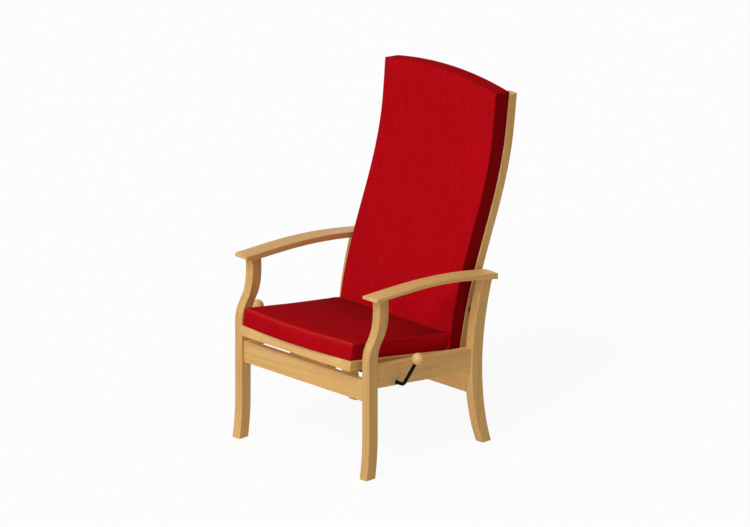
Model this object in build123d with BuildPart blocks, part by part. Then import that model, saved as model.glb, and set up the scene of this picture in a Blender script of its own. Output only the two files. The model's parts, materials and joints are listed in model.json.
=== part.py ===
from build123d import *
import math
import os

# High-back beech armchair whose back reclines and carries the seat with it.
# Z is up, the sitter faces -Y and the sitter's left is +X. Lengths are millimetres, angles degrees.
# "Back" distances run rearwards from the front of the front feet, and heights from the floor.

# Standing frame
leg_gap = 560.0
leg_width = 33.0
arm_height = 636.0
arm_thickness = 20.0
arm_front_back = 23.0
arm_rear_overhang = 2.5
arm_drop = 48.0
arm_inner_overhang = 10.0
arm_width = 62.0
arm_lip_height = 13.0
arm_lip_reach = 17.0
arm_nose_skew = 9.0
arm_nose_lip_height = 9.0
arm_nose_reach = 24.0
arm_edge_radius = 2.5
arm_corner_radius = 3.0

front_leg_depth = 42.0
front_foot_kick = 12.0
front_kick_height = 145.0
front_bend_rise = 3.0
front_leg_setback = 50.5

rear_waist_back = 493.5
rear_waist_rise = 65.0
rear_waist_depth = 48.5
rear_foot_throw = 50.0
rear_foot_depth = 38.5
rear_top_throw = 60.0
rear_top_depth = 41.0
leg_edge_radius = 2.0

glide_height = 3.0
glide_radius = 11.0

side_rail_thickness = 24.0
side_rail_height = 80.0
side_rail_front_rise = 13.4
side_rail_slope = 6.3
side_rail_inset = 5.5
front_rail_height = 74.0
front_rail_drop = 112.6
front_rail_thickness = 22.0
front_rail_inset = 10.7
rear_rail_height = 76.0
rear_rail_drop = 194.6
rear_rail_thickness = 22.0
rear_rail_inset = 1.5
rail_edge_radius = 1.5

corner_block_reach = 56.0
corner_block_height = 24.0
corner_block_lift = 45.0

dowel_radius = 5.0
dowel_length = 50.0
arm_dowel_length = 40.0
arm_dowel_cover = 4.0
dowel_clearance = 0.1
front_rail_dowel_shares = (0.23, 0.6)
side_rail_dowel_shares = (0.27, 0.78)
rear_rail_dowel_shares = (0.23, 0.77)

# Seat, which slopes down to the rear
seat_slope = 9.3
seat_front_back = -24.3
seat_front_height = 379.6
seat_side_width = 40.0
seat_member_height = 33.5
seat_member_gap = 28.0
seat_front_thickness = 24.0
seat_slat_width = 44.0
seat_slat_thickness = 18.0
seat_slat_shares = (0.47, 0.87)
seat_edge_radius = 1.0
seat_dowel_shares = (0.28, 0.72)

seat_cushion_side_inset = 6.9
seat_cushion_thickness = 58.0
seat_cushion_corner = 5.6
seat_cushion_bow = 26.0
seat_cushion_draw = 3.0
seat_cushion_crown = 9.0
seat_crown_end_share = 0.2
seat_cushion_gap = 1.5
seat_cushion_edge_radius = 14.0
seat_cushion_foot_radius = 4.0
seat_board_thickness = 8.0
seat_board_inset = 16.0

runner_width = 46.0
runner_thickness = 18.0
runner_start_back = 62.0
runner_length = 150.0
runner_strip_width = 14.0
runner_strip_thickness = 2.0
runner_clearance = 0.3

# Back, whose front face follows one S curve
back_base_back = 483.0
back_base_drop = 100.6
back_rake = 239.0
back_height = 881.0
back_curve_shares = (
    (0.0, 0.0),
    (0.124, 0.17),
    (0.358, 0.37),
    (0.713, 0.62),
    (0.905, 0.81),
    (1.0, 1.0),
    (1.05, 1.09),
)
upright_width = 38.7
upright_depth = 36.5
upright_edge_radius = 2.0
upright_clearance = 21.4
back_rail_thickness = 22.0
back_rail_heights = (46.0, 60.0, 64.0)
lower_rail_drop = 6.213
upper_rail_centre_shares = (0.45, 0.945)
back_rail_names = ("back_lower_rail", "back_middle_rail", "back_top_rail")
back_dowel_share = 0.33

back_cushion_side_inset = 1.6
back_cushion_thickness = 60.0
back_cushion_foot_rise = 51.0
back_cushion_side_rise = 887.5
back_cushion_arch = 31.0
back_cushion_crown = 3.0
back_cushion_draw = 2.5
back_cushion_edge_radius = 9.0
back_cushion_thickness_shares = (0.88, 0.97, 1.0, 1.0, 1.0, 1.02, 1.04, 1.05, 1.05)
back_cushion_gap = 0.5
back_board_thickness = 9.0
back_board_inset = 22.0

# Pivots
pivot_back = 540.0
pivot_rise = 79.4
pivot_bolt_radius = 5.0
pivot_spacer_radius = 8.0
pivot_spacer_gap = 0.4
pivot_head_radius = 9.0
pivot_head_thickness = 5.0
pivot_thread_depth = 26.0
running_clearance = 0.05
side_gap = 0.3

seat_pivot_back = 505.0
seat_pivot_drop = 70.6
seat_bolt_radius = 4.0
seat_bolt_head_radius = 8.0
seat_bolt_head_thickness = 4.0
seat_bolt_depth_share = 0.85
hinge_plate_thickness = 4.0
hinge_plate_height = 26.0
hinge_plate_length = 118.0
hinge_screw_shares = (0.4, 0.62, 0.84)

# Release lever
lever_back = 146.0
lever_drop = 66.6
lever_radius = 6.0
lever_out = 32.5
lever_bend_radius = 12.0
knob_radius = 21.0
knob_out = 34.5
knob_rear = 33.5
knob_rise = 89.0
knob_socket_depth = 14.0
lever_joint_depth = 8.0
bush_wall = 1.6
bush_flange_radius = 10.0
bush_flange_thickness = 2.0
paddle_width = 16.0
paddle_thickness = 3.0
paddle_rise = 21.0
paddle_gap = 0.5

# Locking gas spring
spring_front_back = 167.0
spring_front_drop = 52.6
spring_rear_back = 466.0
spring_rear_drop = 92.6
spring_rod_radius = 5.0
spring_tube_radius = 11.0
spring_tube_length = 190.0
spring_tube_wall = 1.5
spring_guide_length = 10.0
spring_piston_length = 8.0
spring_rod_overlap = 34.0
spring_eye_radius = 10.5
spring_eye_width = 14.0
spring_pin_radius = 4.0
spring_pin_play = 3.1
spring_head_length = 28.0
spring_head_size = 18.0
release_pin_radius = 2.5
release_pin_seat = 6.0
release_pin_travel = 3.2
bracket_gap = 22.0
bracket_wall = 3.0
bracket_height = 40.0
bracket_drop = 13.0
bracket_flange_width = 62.0
bracket_tail = 10.0
front_block_width = 177.0
front_block_depth = 37.0
front_block_height = 58.0
front_block_drop = 87.6
ear_wall = 3.0
ear_radius = 9.0
ear_side_gap = 0.5
ear_plate_width = 42.0
ear_plate_height = 34.0

# Screws
screw_radius = 2.0
screw_head_radius = 4.0
screw_head_thickness = 2.5
screw_length = 20.0
screw_sink = 1.0
screw_bite_share = 0.6
runner_screw_shares = (0.2, 0.8)
block_screw_side_share = 0.8
block_screw_shares = (0.25, 0.75)
board_screw_shares = (-0.6, 0.0, 0.6)
slat_screw_shares = (-0.7, 0.7)
lug_screw_shares = (0.25, 0.75)
screw_clearance = 0.1

# How far shapes that only cut are drawn, and how closely a place on a curve is found
cut_reach = 1500.0
search_share = 1e-9
quarter_turn = math.degrees(math.pi / 2)

os.makedirs("parts", exist_ok=True)

# Places worked out from the sizes above; heights follow the seat's front
side_rail_front_top = seat_front_height + side_rail_front_rise
front_bend_height = side_rail_front_top + front_bend_rise
front_rail_bottom = seat_front_height - front_rail_drop
rear_rail_bottom = seat_front_height - rear_rail_drop
rear_waist_height = rear_rail_bottom + rear_waist_rise
back_base_height = seat_front_height - back_base_drop
back_cushion_bottom = back_base_height + back_cushion_foot_rise
back_cushion_side_height = back_base_height + back_cushion_side_rise
pivot_height = seat_front_height + pivot_rise
seat_pivot_height = seat_front_height - seat_pivot_drop
lever_height = seat_front_height - lever_drop
spring_front_height = seat_front_height - spring_front_drop
spring_rear_height = seat_front_height - spring_rear_drop
front_block_bottom = seat_front_height - front_block_drop
leg_inner_x = leg_gap / 2
leg_outer_x = leg_inner_x + leg_width
leg_centre_x = leg_inner_x + leg_width / 2
arm_inner_x = leg_inner_x - arm_inner_overhang
side_rail_outer_x = leg_outer_x - side_rail_inset
side_rail_inner_x = side_rail_outer_x - side_rail_thickness
front_straight_back = front_foot_kick
front_leg_rear_back = front_straight_back + front_leg_depth
front_rail_back = front_straight_back + front_rail_inset
front_rail_rear_back = front_rail_back + front_rail_thickness
rear_rail_back = rear_waist_back + rear_rail_inset
upright_outer_x = leg_inner_x - upright_clearance
upright_inner_x = upright_outer_x - upright_width
back_top_height = back_base_height + back_height
back_top_back = back_base_back + back_rake
seat_tilt = math.radians(seat_slope)
seat_nose_run = seat_cushion_corner - seat_cushion_bow
front_reach = seat_front_back + seat_nose_run * math.cos(seat_tilt) + seat_member_height * math.sin(seat_tilt)
origin_y = -(front_reach + back_top_back + upright_depth) / 2
seat_outer_x = upright_outer_x + side_gap
seat_cushion_width = 2 * (seat_outer_x - seat_cushion_side_inset)
back_cushion_width = 2 * (upright_outer_x - back_cushion_side_inset)
arm_rear_back = rear_waist_back + rear_top_throw + rear_top_depth + arm_rear_overhang
arm_length = arm_rear_back - arm_front_back
seat_inner_x = seat_outer_x - seat_side_width


def side_plane(x):
    """Upright plane seen from the sitter's left: local x runs to the rear, local y up."""
    return Plane(origin=(x, origin_y, 0), x_dir=(0, 1, 0), z_dir=(1, 0, 0))


def cross_plane(back):
    """Upright plane across the chair: local x is X, local y is up, and its normal faces front."""
    return Plane(origin=(0, origin_y + back, 0), x_dir=(1, 0, 0), z_dir=(0, -1, 0))


def floor_plane(height):
    """Level plane: local x is X and local y runs to the rear from the front feet."""
    return Plane(origin=(0, origin_y, height), x_dir=(1, 0, 0), z_dir=(0, 0, 1))


def seat_plane(lift):
    """Plane of the seat, lifted off the seat members' underside; local y runs down to the rear."""
    rise = (0, math.sin(seat_tilt), math.cos(seat_tilt))
    origin = Vector(0, origin_y + seat_front_back, seat_front_height) + Vector(*rise) * lift
    return Plane(origin=origin, x_dir=(1, 0, 0), z_dir=rise)


def seat_side_plane(x):
    """Upright plane whose local x runs down the seat and whose local y is square to it."""
    origin = (x, origin_y + seat_front_back, seat_front_height)
    return Plane(origin=origin, x_dir=(0, math.cos(seat_tilt), -math.sin(seat_tilt)), z_dir=(1, 0, 0))


def place(x, back, height):
    return (x, origin_y + back, height)


def save(piece, name):
    piece.part.label = name
    export_step(piece.part, f"parts/{name}.step")


def save_pair(left_piece, name):
    """Writes a left piece, and its mirror image on the right."""
    save(left_piece, f"{name}_left")
    with BuildPart() as right_piece:
        mirror(left_piece.part, about=Plane.YZ)
    save(right_piece, f"{name}_right")


def long_edges(piece):
    """Edges that run the length of a leg or an upright, on both of its sides."""
    return piece.edges().filter_by(Axis.X, reverse=True).filter_by(Axis.Y, reverse=True)


def along_seat(back, height):
    """Turns a back distance and a height into the seat plane's run and lift."""
    run = back - seat_front_back
    rise = height - seat_front_height
    return (
        run * math.cos(seat_tilt) - rise * math.sin(seat_tilt),
        run * math.sin(seat_tilt) + rise * math.cos(seat_tilt),
    )


def arc_lean(throw, rise):
    """Lean, as a step back per unit of height, at the end of an arc that starts upright."""
    return 2 * throw * rise / (rise**2 - throw**2)


# Arms: a slowly falling curve with a long chamfer under the outer edge that fades to the rear,
# and a thin front end, cut askew and bevelled underneath
arm_curve_shares = ((0.0, 0.0), (0.2, 0.02), (0.4, 0.083), (0.6, 0.26), (0.8, 0.573), (1.0, 1.0))
arm_chamfer_shares = (1.0, 1.0, 1.0, 0.9, 0.35, 0.02)
arm_top_points = [
    (arm_front_back + arm_length * run, arm_height - arm_drop * fall) for run, fall in arm_curve_shares
]
arm_under_points = [(back, height - arm_thickness) for back, height in arm_top_points]
arm_outer_x = arm_inner_x + arm_width


def arm_chamfer_section(back, under, share):
    """Corner that the chamfer takes off, drawn past both faces."""
    reach = arm_lip_reach * share
    rise = (arm_thickness - arm_lip_height) * share
    with BuildSketch(cross_plane(back)) as section:
        with BuildLine():
            Polyline(
                (arm_outer_x - reach - reach, under - rise),
                (arm_outer_x + reach, under + rise + rise),
                (arm_outer_x + reach, under - rise),
                close=True,
            )
        make_face()
    return section.sketch


with BuildPart() as arm_chamfer:
    loft(
        [
            arm_chamfer_section(back, under, share)
            for (back, under), share in zip(arm_under_points, arm_chamfer_shares)
        ]
    )

nose_rise = arm_thickness - arm_nose_lip_height
nose_cut_bottom = arm_height - arm_thickness - nose_rise
with BuildPart() as arm_nose_cut:
    with BuildSketch(side_plane(arm_inner_x)):
        with BuildLine():
            Polyline(
                (arm_front_back - arm_nose_reach, arm_height - arm_nose_lip_height + nose_rise),
                (arm_front_back + arm_nose_reach + arm_nose_reach, nose_cut_bottom),
                (arm_front_back - arm_nose_reach, nose_cut_bottom),
                close=True,
            )
        make_face()
    extrude(amount=arm_width)

with BuildPart() as arm_left:
    with BuildSketch(side_plane(arm_inner_x)):
        with BuildLine():
            Spline(*arm_top_points)
            Spline(*arm_under_points)
            Line(arm_top_points[0], arm_under_points[0])
            Line(arm_top_points[-1], arm_under_points[-1])
        make_face()
    extrude(amount=arm_width)
    with BuildSketch(floor_plane(arm_height)) as arm_plan:
        with BuildLine():
            Polyline(
                (arm_inner_x, arm_front_back),
                (arm_outer_x, arm_front_back + arm_nose_skew),
                (arm_outer_x, arm_rear_back),
                (arm_inner_x, arm_rear_back),
                close=True,
            )
        make_face()
        fillet(arm_plan.vertices(), arm_corner_radius)
    extrude(amount=cut_reach, both=True, mode=Mode.INTERSECT)
    fillet(arm_left.faces().sort_by(Axis.Z)[-1].edges(), arm_edge_radius)
    add(arm_chamfer.part, mode=Mode.SUBTRACT)
    add(arm_nose_cut.part, mode=Mode.SUBTRACT)

with BuildPart() as above_arm_underside:
    with BuildSketch(side_plane(arm_inner_x)):
        with BuildLine():
            Spline(*arm_under_points)
            Polyline(
                arm_under_points[-1],
                (arm_under_points[-1][0], arm_height),
                (arm_under_points[0][0], arm_height),
                arm_under_points[0],
            )
        make_face()
    extrude(amount=arm_width)

# Legs: the front pair rises straight, then sweeps back in an S; the rear pair is one bowed C
front_leg_top = arm_height - arm_thickness / 2
front_bend_shares = ((0.0, 0.0), (0.18, 0.25), (0.74, 0.46), (1.0, 0.79), (0.94, 1.0))
front_top_lean_share = -0.1
front_kick_lean = arc_lean(front_foot_kick, front_kick_height - glide_height)
front_bend_points = [
    (
        front_straight_back + front_leg_setback * run,
        front_bend_height + (front_leg_top - front_bend_height) * rise,
    )
    for run, rise in front_bend_shares
]
with BuildPart() as front_leg_left:
    with BuildSketch(side_plane(leg_inner_x)):
        with BuildLine():
            for shift in (0, front_leg_depth):
                kick_top = (front_straight_back + shift, front_kick_height)
                foot = (shift, glide_height)
                Spline(foot, kick_top, tangents=[(front_kick_lean, 1), (0, 1)])
                Line(kick_top, (front_straight_back + shift, front_bend_height))
                Spline(
                    *[(back + shift, height) for back, height in front_bend_points],
                    tangents=[(0, 1), (front_top_lean_share, 1)],
                )
            Line((0, glide_height), (front_leg_depth, glide_height))
            top_front = front_bend_points[-1]
            Line(top_front, (top_front[0] + front_leg_depth, top_front[1]))
        make_face()
    extrude(amount=leg_width)
    fillet(long_edges(front_leg_left), leg_edge_radius)

rear_leg_top = arm_height - arm_drop
rear_waist_front = (rear_waist_back, rear_waist_height)
rear_waist_rear = (rear_waist_back + rear_waist_depth, rear_waist_height)
rear_foot_front = (rear_waist_back + rear_foot_throw, glide_height)
rear_foot_rear = (rear_foot_front[0] + rear_foot_depth, glide_height)
rear_top_front = (rear_waist_back + rear_top_throw, rear_leg_top)
rear_top_rear = (rear_top_front[0] + rear_top_depth, rear_leg_top)
with BuildPart() as rear_leg_left:
    with BuildSketch(side_plane(leg_inner_x)):
        with BuildLine():
            for foot, waist, top in (
                (rear_foot_front, rear_waist_front, rear_top_front),
                (rear_foot_rear, rear_waist_rear, rear_top_rear),
            ):
                foot_lean = arc_lean(waist[0] - foot[0], waist[1] - foot[1])
                top_lean = arc_lean(top[0] - waist[0], top[1] - waist[1])
                Spline(foot, waist, top, tangents=[(foot_lean, 1), (top_lean, 1)])
            Line(rear_foot_front, rear_foot_rear)
            Line(rear_top_front, rear_top_rear)
        make_face()
    extrude(amount=leg_width)
    fillet(long_edges(rear_leg_left), leg_edge_radius)

# Rails of the standing frame, cut to the faces of the legs
side_rail_fall = math.tan(math.radians(side_rail_slope))
rear_leg_middle_back = rear_waist_back + rear_waist_depth / 2
side_rail_drop = (rear_leg_middle_back - front_leg_rear_back) * side_rail_fall
rear_leg_face_drop = (rear_leg_middle_back - rear_waist_depth / 2 - front_leg_rear_back) * side_rail_fall
side_rail_centre_x = side_rail_outer_x - side_rail_thickness / 2
front_rail_centre_back = front_rail_back + front_rail_thickness / 2
rear_rail_centre_back = rear_rail_back + rear_rail_thickness / 2


def lying_peg(x, back, height, axis):
    """Where a peg lies: along X, along Y or upright."""
    turn = {"x": (0, quarter_turn, 0), "y": (quarter_turn, 0, 0), "z": (0, 0, 0)}[axis]
    return Location(place(x, back, height), turn)


arm_dowel_spots = [
    lying_peg(side * leg_centre_x, back, top - arm_dowel_cover - arm_dowel_length / 2, "z")
    for side in (-1, 1)
    for back, top in (
        (front_bend_points[-1][0] + front_leg_depth / 2, arm_height),
        (rear_top_front[0] + rear_top_depth / 2, arm_height - arm_drop),
    )
]
rail_dowel_spots = (
    [
        lying_peg(side * leg_inner_x, front_rail_centre_back, front_rail_bottom + front_rail_height * share, "x")
        for side in (-1, 1)
        for share in front_rail_dowel_shares
    ]
    + [
        lying_peg(side * leg_inner_x, rear_rail_centre_back, rear_rail_bottom + rear_rail_height * share, "x")
        for side in (-1, 1)
        for share in rear_rail_dowel_shares
    ]
    + [
        lying_peg(
            side * side_rail_centre_x,
            back,
            side_rail_front_top - side_rail_height * (1 - share) - drop,
            "y",
        )
        for side in (-1, 1)
        for share in side_rail_dowel_shares
        for back, drop in ((front_leg_rear_back, 0), (rear_waist_back, rear_leg_face_drop))
    ]
)

with BuildPart() as arm_dowels:
    with Locations(*arm_dowel_spots):
        Cylinder(dowel_radius, arm_dowel_length)
save(arm_dowels, "arm_dowels")

with BuildPart() as arm_dowel_holes:
    with Locations(*arm_dowel_spots):
        Cylinder(dowel_radius + dowel_clearance, arm_dowel_length + 2 * dowel_clearance)

with BuildPart() as rail_dowels:
    with Locations(*rail_dowel_spots):
        Cylinder(dowel_radius, dowel_length)
save(rail_dowels, "rail_dowels")

with BuildPart() as rail_dowel_holes:
    with Locations(*rail_dowel_spots):
        Cylinder(dowel_radius + dowel_clearance, dowel_length + 2 * dowel_clearance)

pivot_spots = [lying_peg(side * leg_inner_x, pivot_back, pivot_height, "x") for side in (-1, 1)]
with BuildPart() as pivot_leg_holes:
    with Locations(*pivot_spots):
        Cylinder(pivot_bolt_radius + dowel_clearance, 2 * (pivot_thread_depth + dowel_clearance))

with BuildPart() as finished_arm:
    add(arm_left.part)
    add(arm_dowel_holes.part, mode=Mode.SUBTRACT)
save_pair(finished_arm, "arm")

with BuildPart() as finished_front_leg:
    add(front_leg_left.part)
    add(above_arm_underside.part, mode=Mode.SUBTRACT)
    add(arm_dowel_holes.part, mode=Mode.SUBTRACT)
    add(rail_dowel_holes.part, mode=Mode.SUBTRACT)
save_pair(finished_front_leg, "front_leg")

with BuildPart() as finished_rear_leg:
    add(rear_leg_left.part)
    add(above_arm_underside.part, mode=Mode.SUBTRACT)
    add(arm_dowel_holes.part, mode=Mode.SUBTRACT)
    add(rail_dowel_holes.part, mode=Mode.SUBTRACT)
    add(pivot_leg_holes.part, mode=Mode.SUBTRACT)
save_pair(finished_rear_leg, "rear_leg")

# Screws: a shank and a round head that stands on the face it is driven through
def screw_set(spots, length, clearance=0):
    """Screws at (point on the face, direction out of the face)."""
    with BuildPart() as screws:
        for origin, outward in spots:
            face = Plane(origin=origin, z_dir=outward)
            with BuildSketch(face):
                Circle(screw_radius + clearance)
            extrude(amount=-length - clearance)
            with BuildSketch(face):
                Circle(screw_head_radius + clearance)
            extrude(amount=screw_head_thickness)
    return screws


def both_sides(spots):
    """Mirrors a left set of (point, direction) pairs onto the right."""
    return spots + [((-x, y, z), (-dx, dy, dz)) for (x, y, z), (dx, dy, dz) in spots]


# Seat runners on the inner faces of the side rails, with a low-friction strip under each seat side
runner_run = along_seat(runner_start_back, seat_front_height)[0]
runner_lift = -runner_clearance - runner_strip_thickness
runner_inner_x = side_rail_inner_x - runner_width
strip_inner_x = runner_inner_x + (seat_outer_x - runner_inner_x - runner_strip_width) / 2
runner_screw_length = runner_width + side_rail_thickness * screw_bite_share
runner_screw_spots = both_sides(
    [
        (
            tuple(
                seat_side_plane(runner_inner_x).from_local_coords(
                    (runner_run + runner_length * share, runner_lift - runner_thickness / 2, 0)
                )
            ),
            (-1, 0, 0),
        )
        for share in runner_screw_shares
    ]
)
runner_screws = screw_set(runner_screw_spots, runner_screw_length)
save(runner_screws, "runner_screws")
runner_screw_holes = screw_set(runner_screw_spots, runner_screw_length, screw_clearance)

with BuildPart() as seat_runners:
    with BuildSketch(seat_side_plane(runner_inner_x)):
        with Locations((runner_run, runner_lift)):
            Rectangle(runner_length, runner_thickness, align=(Align.MIN, Align.MAX))
    extrude(amount=runner_width)
    mirror(about=Plane.YZ)
    add(runner_screw_holes.part, mode=Mode.SUBTRACT)
save(seat_runners, "seat_runners")

with BuildPart() as runner_strips:
    with BuildSketch(seat_side_plane(strip_inner_x)):
        with Locations((runner_run, runner_lift)):
            Rectangle(runner_length, runner_strip_thickness, align=(Align.MIN, Align.MIN))
    extrude(amount=runner_strip_width)
    mirror(about=Plane.YZ)
save(runner_strips, "runner_strips")

# Side rails, with the bush that the lever shaft turns in
bush_radius = lever_radius + running_clearance + bush_wall
with BuildPart() as side_rail_left:
    with BuildSketch(side_plane(side_rail_inner_x)):
        with BuildLine():
            Polyline(
                (front_leg_rear_back, side_rail_front_top),
                (rear_leg_middle_back, side_rail_front_top - side_rail_drop),
                (rear_leg_middle_back, side_rail_front_top - side_rail_drop - side_rail_height),
                (front_leg_rear_back, side_rail_front_top - side_rail_height),
                close=True,
            )
        make_face()
    extrude(amount=side_rail_thickness)
    sloping_edges = side_rail_left.edges().filter_by(Axis.X, reverse=True).filter_by(Axis.Z, reverse=True)
    fillet(sloping_edges, rail_edge_radius)
    add(rear_leg_left.part, mode=Mode.SUBTRACT)
    with BuildSketch(side_plane(side_rail_inner_x)):
        with Locations((lever_back, lever_height)):
            Circle(bush_radius + dowel_clearance)
    extrude(amount=side_rail_thickness, mode=Mode.SUBTRACT)
    add(rail_dowel_holes.part, mode=Mode.SUBTRACT)
    add(runner_screw_holes.part, mode=Mode.SUBTRACT)
save_pair(side_rail_left, "side_rail")

with BuildPart() as lever_bushes:
    with BuildSketch(side_plane(side_rail_inner_x)):
        with Locations((lever_back, lever_height)):
            Circle(bush_radius)
    extrude(amount=side_rail_thickness)
    with BuildSketch(side_plane(side_rail_inner_x)):
        with Locations((lever_back, lever_height)):
            Circle(bush_flange_radius)
    extrude(amount=-bush_flange_thickness)
    with BuildSketch(side_plane(side_rail_inner_x - bush_flange_thickness)):
        with Locations((lever_back, lever_height)):
            Circle(lever_radius + running_clearance)
    extrude(amount=side_rail_thickness + bush_flange_thickness, mode=Mode.SUBTRACT)
    mirror(about=Plane.YZ)
save(lever_bushes, "lever_bushes")

# Spring block behind the front rail, and its steel bracket
block_rear_back = front_rail_rear_back + front_block_depth
bracket_bottom = lever_height - bracket_drop
bracket_middle = bracket_bottom + bracket_height / 2
block_screw_length = front_block_depth + front_rail_thickness * screw_bite_share
block_screw_spots = [
    (
        place(
            side * block_screw_side_share * front_block_width / 2,
            block_rear_back,
            front_block_bottom + front_block_height * share,
        ),
        (0, 1, 0),
    )
    for side in (-1, 1)
    for share in block_screw_shares
]
block_screws = screw_set(block_screw_spots, block_screw_length)
save(block_screws, "front_block_screws")
block_screw_holes = screw_set(block_screw_spots, block_screw_length, screw_clearance)

bracket_flange_x = (bracket_gap / 2 + bracket_wall + bracket_flange_width / 2) / 2
bracket_screw_spots = [
    (
        place(side * bracket_flange_x, block_rear_back + bracket_wall, bracket_bottom + bracket_height * share),
        (0, 1, 0),
    )
    for side in (-1, 1)
    for share in block_screw_shares
]
bracket_screws = screw_set(bracket_screw_spots, screw_length)
save(bracket_screws, "bracket_screws")
bracket_screw_holes = screw_set(bracket_screw_spots, screw_length, screw_clearance)

with BuildPart() as front_rail:
    with BuildSketch(cross_plane(front_rail_back)):
        with Locations((0, front_rail_bottom + front_rail_height / 2)):
            Rectangle(leg_gap, front_rail_height)
    extrude(amount=-front_rail_thickness)
    fillet(front_rail.edges().filter_by(Axis.X), rail_edge_radius)
    add(rail_dowel_holes.part, mode=Mode.SUBTRACT)
    add(block_screw_holes.part, mode=Mode.SUBTRACT)
save(front_rail, "front_rail")

with BuildPart() as rear_rail:
    with BuildSketch(cross_plane(rear_rail_back)):
        with Locations((0, rear_rail_bottom + rear_rail_height / 2)):
            Rectangle(leg_gap, rear_rail_height)
    extrude(amount=-rear_rail_thickness)
    fillet(rear_rail.edges().filter_by(Axis.X), rail_edge_radius)
    add(rail_dowel_holes.part, mode=Mode.SUBTRACT)
save(rear_rail, "rear_rail")

with BuildPart() as front_block:
    with BuildSketch(cross_plane(front_rail_rear_back)):
        with Locations((0, front_block_bottom + front_block_height / 2)):
            Rectangle(front_block_width, front_block_height)
    extrude(amount=-front_block_depth)
    add(block_screw_holes.part, mode=Mode.SUBTRACT)
    add(bracket_screw_holes.part, mode=Mode.SUBTRACT)
save(front_block, "front_block")

bracket_length = spring_front_back + bracket_tail - block_rear_back
with BuildPart() as spring_bracket:
    with BuildSketch(floor_plane(bracket_bottom)):
        with Locations((0, block_rear_back)):
            Rectangle(bracket_flange_width, bracket_wall, align=(Align.CENTER, Align.MIN))
            Rectangle(bracket_gap + 2 * bracket_wall, bracket_length, align=(Align.CENTER, Align.MIN))
        with Locations((0, block_rear_back + bracket_wall)):
            Rectangle(bracket_gap, bracket_length, align=(Align.CENTER, Align.MIN), mode=Mode.SUBTRACT)
    extrude(amount=bracket_height)
    with BuildSketch(side_plane(-bracket_flange_width / 2)):
        with Locations((lever_back, lever_height)):
            Circle(lever_radius + running_clearance)
        with Locations((spring_front_back, spring_front_height)):
            Circle(spring_pin_radius + dowel_clearance)
    extrude(amount=bracket_flange_width, mode=Mode.SUBTRACT)
    add(bracket_screw_holes.part, mode=Mode.SUBTRACT)
save(spring_bracket, "spring_bracket")

with BuildPart() as spring_front_pin:
    with BuildSketch(side_plane(0)):
        with Locations((spring_front_back, spring_front_height)):
            Circle(spring_pin_radius)
    extrude(amount=bracket_gap / 2 + 2 * bracket_wall, both=True)
save(spring_front_pin, "spring_front_pin")

# Glue blocks in the front corners, and glides under the feet
with BuildPart() as corner_blocks:
    with BuildSketch(floor_plane(front_rail_bottom + corner_block_lift)):
        with BuildLine():
            Polyline(
                (leg_inner_x - corner_block_reach, front_rail_rear_back),
                (leg_inner_x, front_rail_rear_back),
                (leg_inner_x, front_leg_rear_back),
                (side_rail_inner_x, front_leg_rear_back),
                (side_rail_inner_x, front_rail_rear_back + corner_block_reach),
                close=True,
            )
        make_face()
    extrude(amount=corner_block_height)
    mirror(about=Plane.YZ)
save(corner_blocks, "corner_blocks")

with BuildPart() as foot_glides:
    with BuildSketch(floor_plane(0)):
        for side in (-1, 1):
            for back in (front_leg_depth / 2, rear_foot_front[0] + rear_foot_depth / 2):
                with Locations((side * leg_centre_x, back)):
                    Circle(glide_radius)
    extrude(amount=glide_height)
save(foot_glides, "foot_glides")

# Back frame: every piece follows the same S curve, which is its front face
back_points = [
    (back_base_back + back_rake * run, back_base_height + back_height * rise) for run, rise in back_curve_shares
]
back_curve = Spline(*[place(0, back, height) for back, height in back_points])


def back_strip(front, rear, low, high, x, width):
    """Piece between two offsets of the back's curve and two heights, from x to x + width."""
    with BuildPart() as strip:
        with BuildSketch(side_plane(x)):
            with BuildLine():
                Spline(*[(back + front, height) for back, height in back_points])
                Spline(*[(back + rear, height) for back, height in back_points])
                for back, height in (back_points[0], back_points[-1]):
                    Line((back + front, height), (back + rear, height))
            make_face()
            with Locations((back_base_back, low)):
                Rectangle(cut_reach, high - low, align=(Align.CENTER, Align.MIN), mode=Mode.INTERSECT)
        extrude(amount=width)
    return strip.part


def back_share_at(height):
    """Share of the curve's length at which it reaches a height, by halving."""
    low, high = 0.0, 1.0
    while high - low > search_share:
        middle = (low + high) / 2
        if (back_curve @ middle).Z < height:
            low = middle
        else:
            high = middle
    return (low + high) / 2


def back_slice(height):
    """Plane square to the back's curve: local x is X and local y points out of the back, to the rear."""
    share = back_share_at(height)
    return Plane(origin=back_curve @ share, x_dir=(1, 0, 0), z_dir=back_curve % share)


# The lower rail lies level with the seat's pivot, less a small drop that keeps its dowels clear of the bolts
lower_rail_centre = seat_pivot_height - lower_rail_drop
upper_rail_centres = [back_base_height + back_height * share for share in upper_rail_centre_shares]
back_rail_centres = [lower_rail_centre] + upper_rail_centres
back_dowel_spots = []
for centre, height in zip(back_rail_centres, back_rail_heights):
    for rise in (-height * back_dowel_share, height * back_dowel_share):
        curve_point = back_curve @ back_share_at(centre + rise)
        for side in (-1, 1):
            spot = (side * upright_inner_x, curve_point.Y + back_rail_thickness / 2, centre + rise)
            back_dowel_spots.append(Location(spot, (0, quarter_turn, 0)))

with BuildPart() as back_dowels:
    with Locations(*back_dowel_spots):
        Cylinder(dowel_radius, dowel_length)
save(back_dowels, "back_dowels")

with BuildPart() as back_dowel_holes:
    with Locations(*back_dowel_spots):
        Cylinder(dowel_radius + dowel_clearance, dowel_length + 2 * dowel_clearance)

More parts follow.
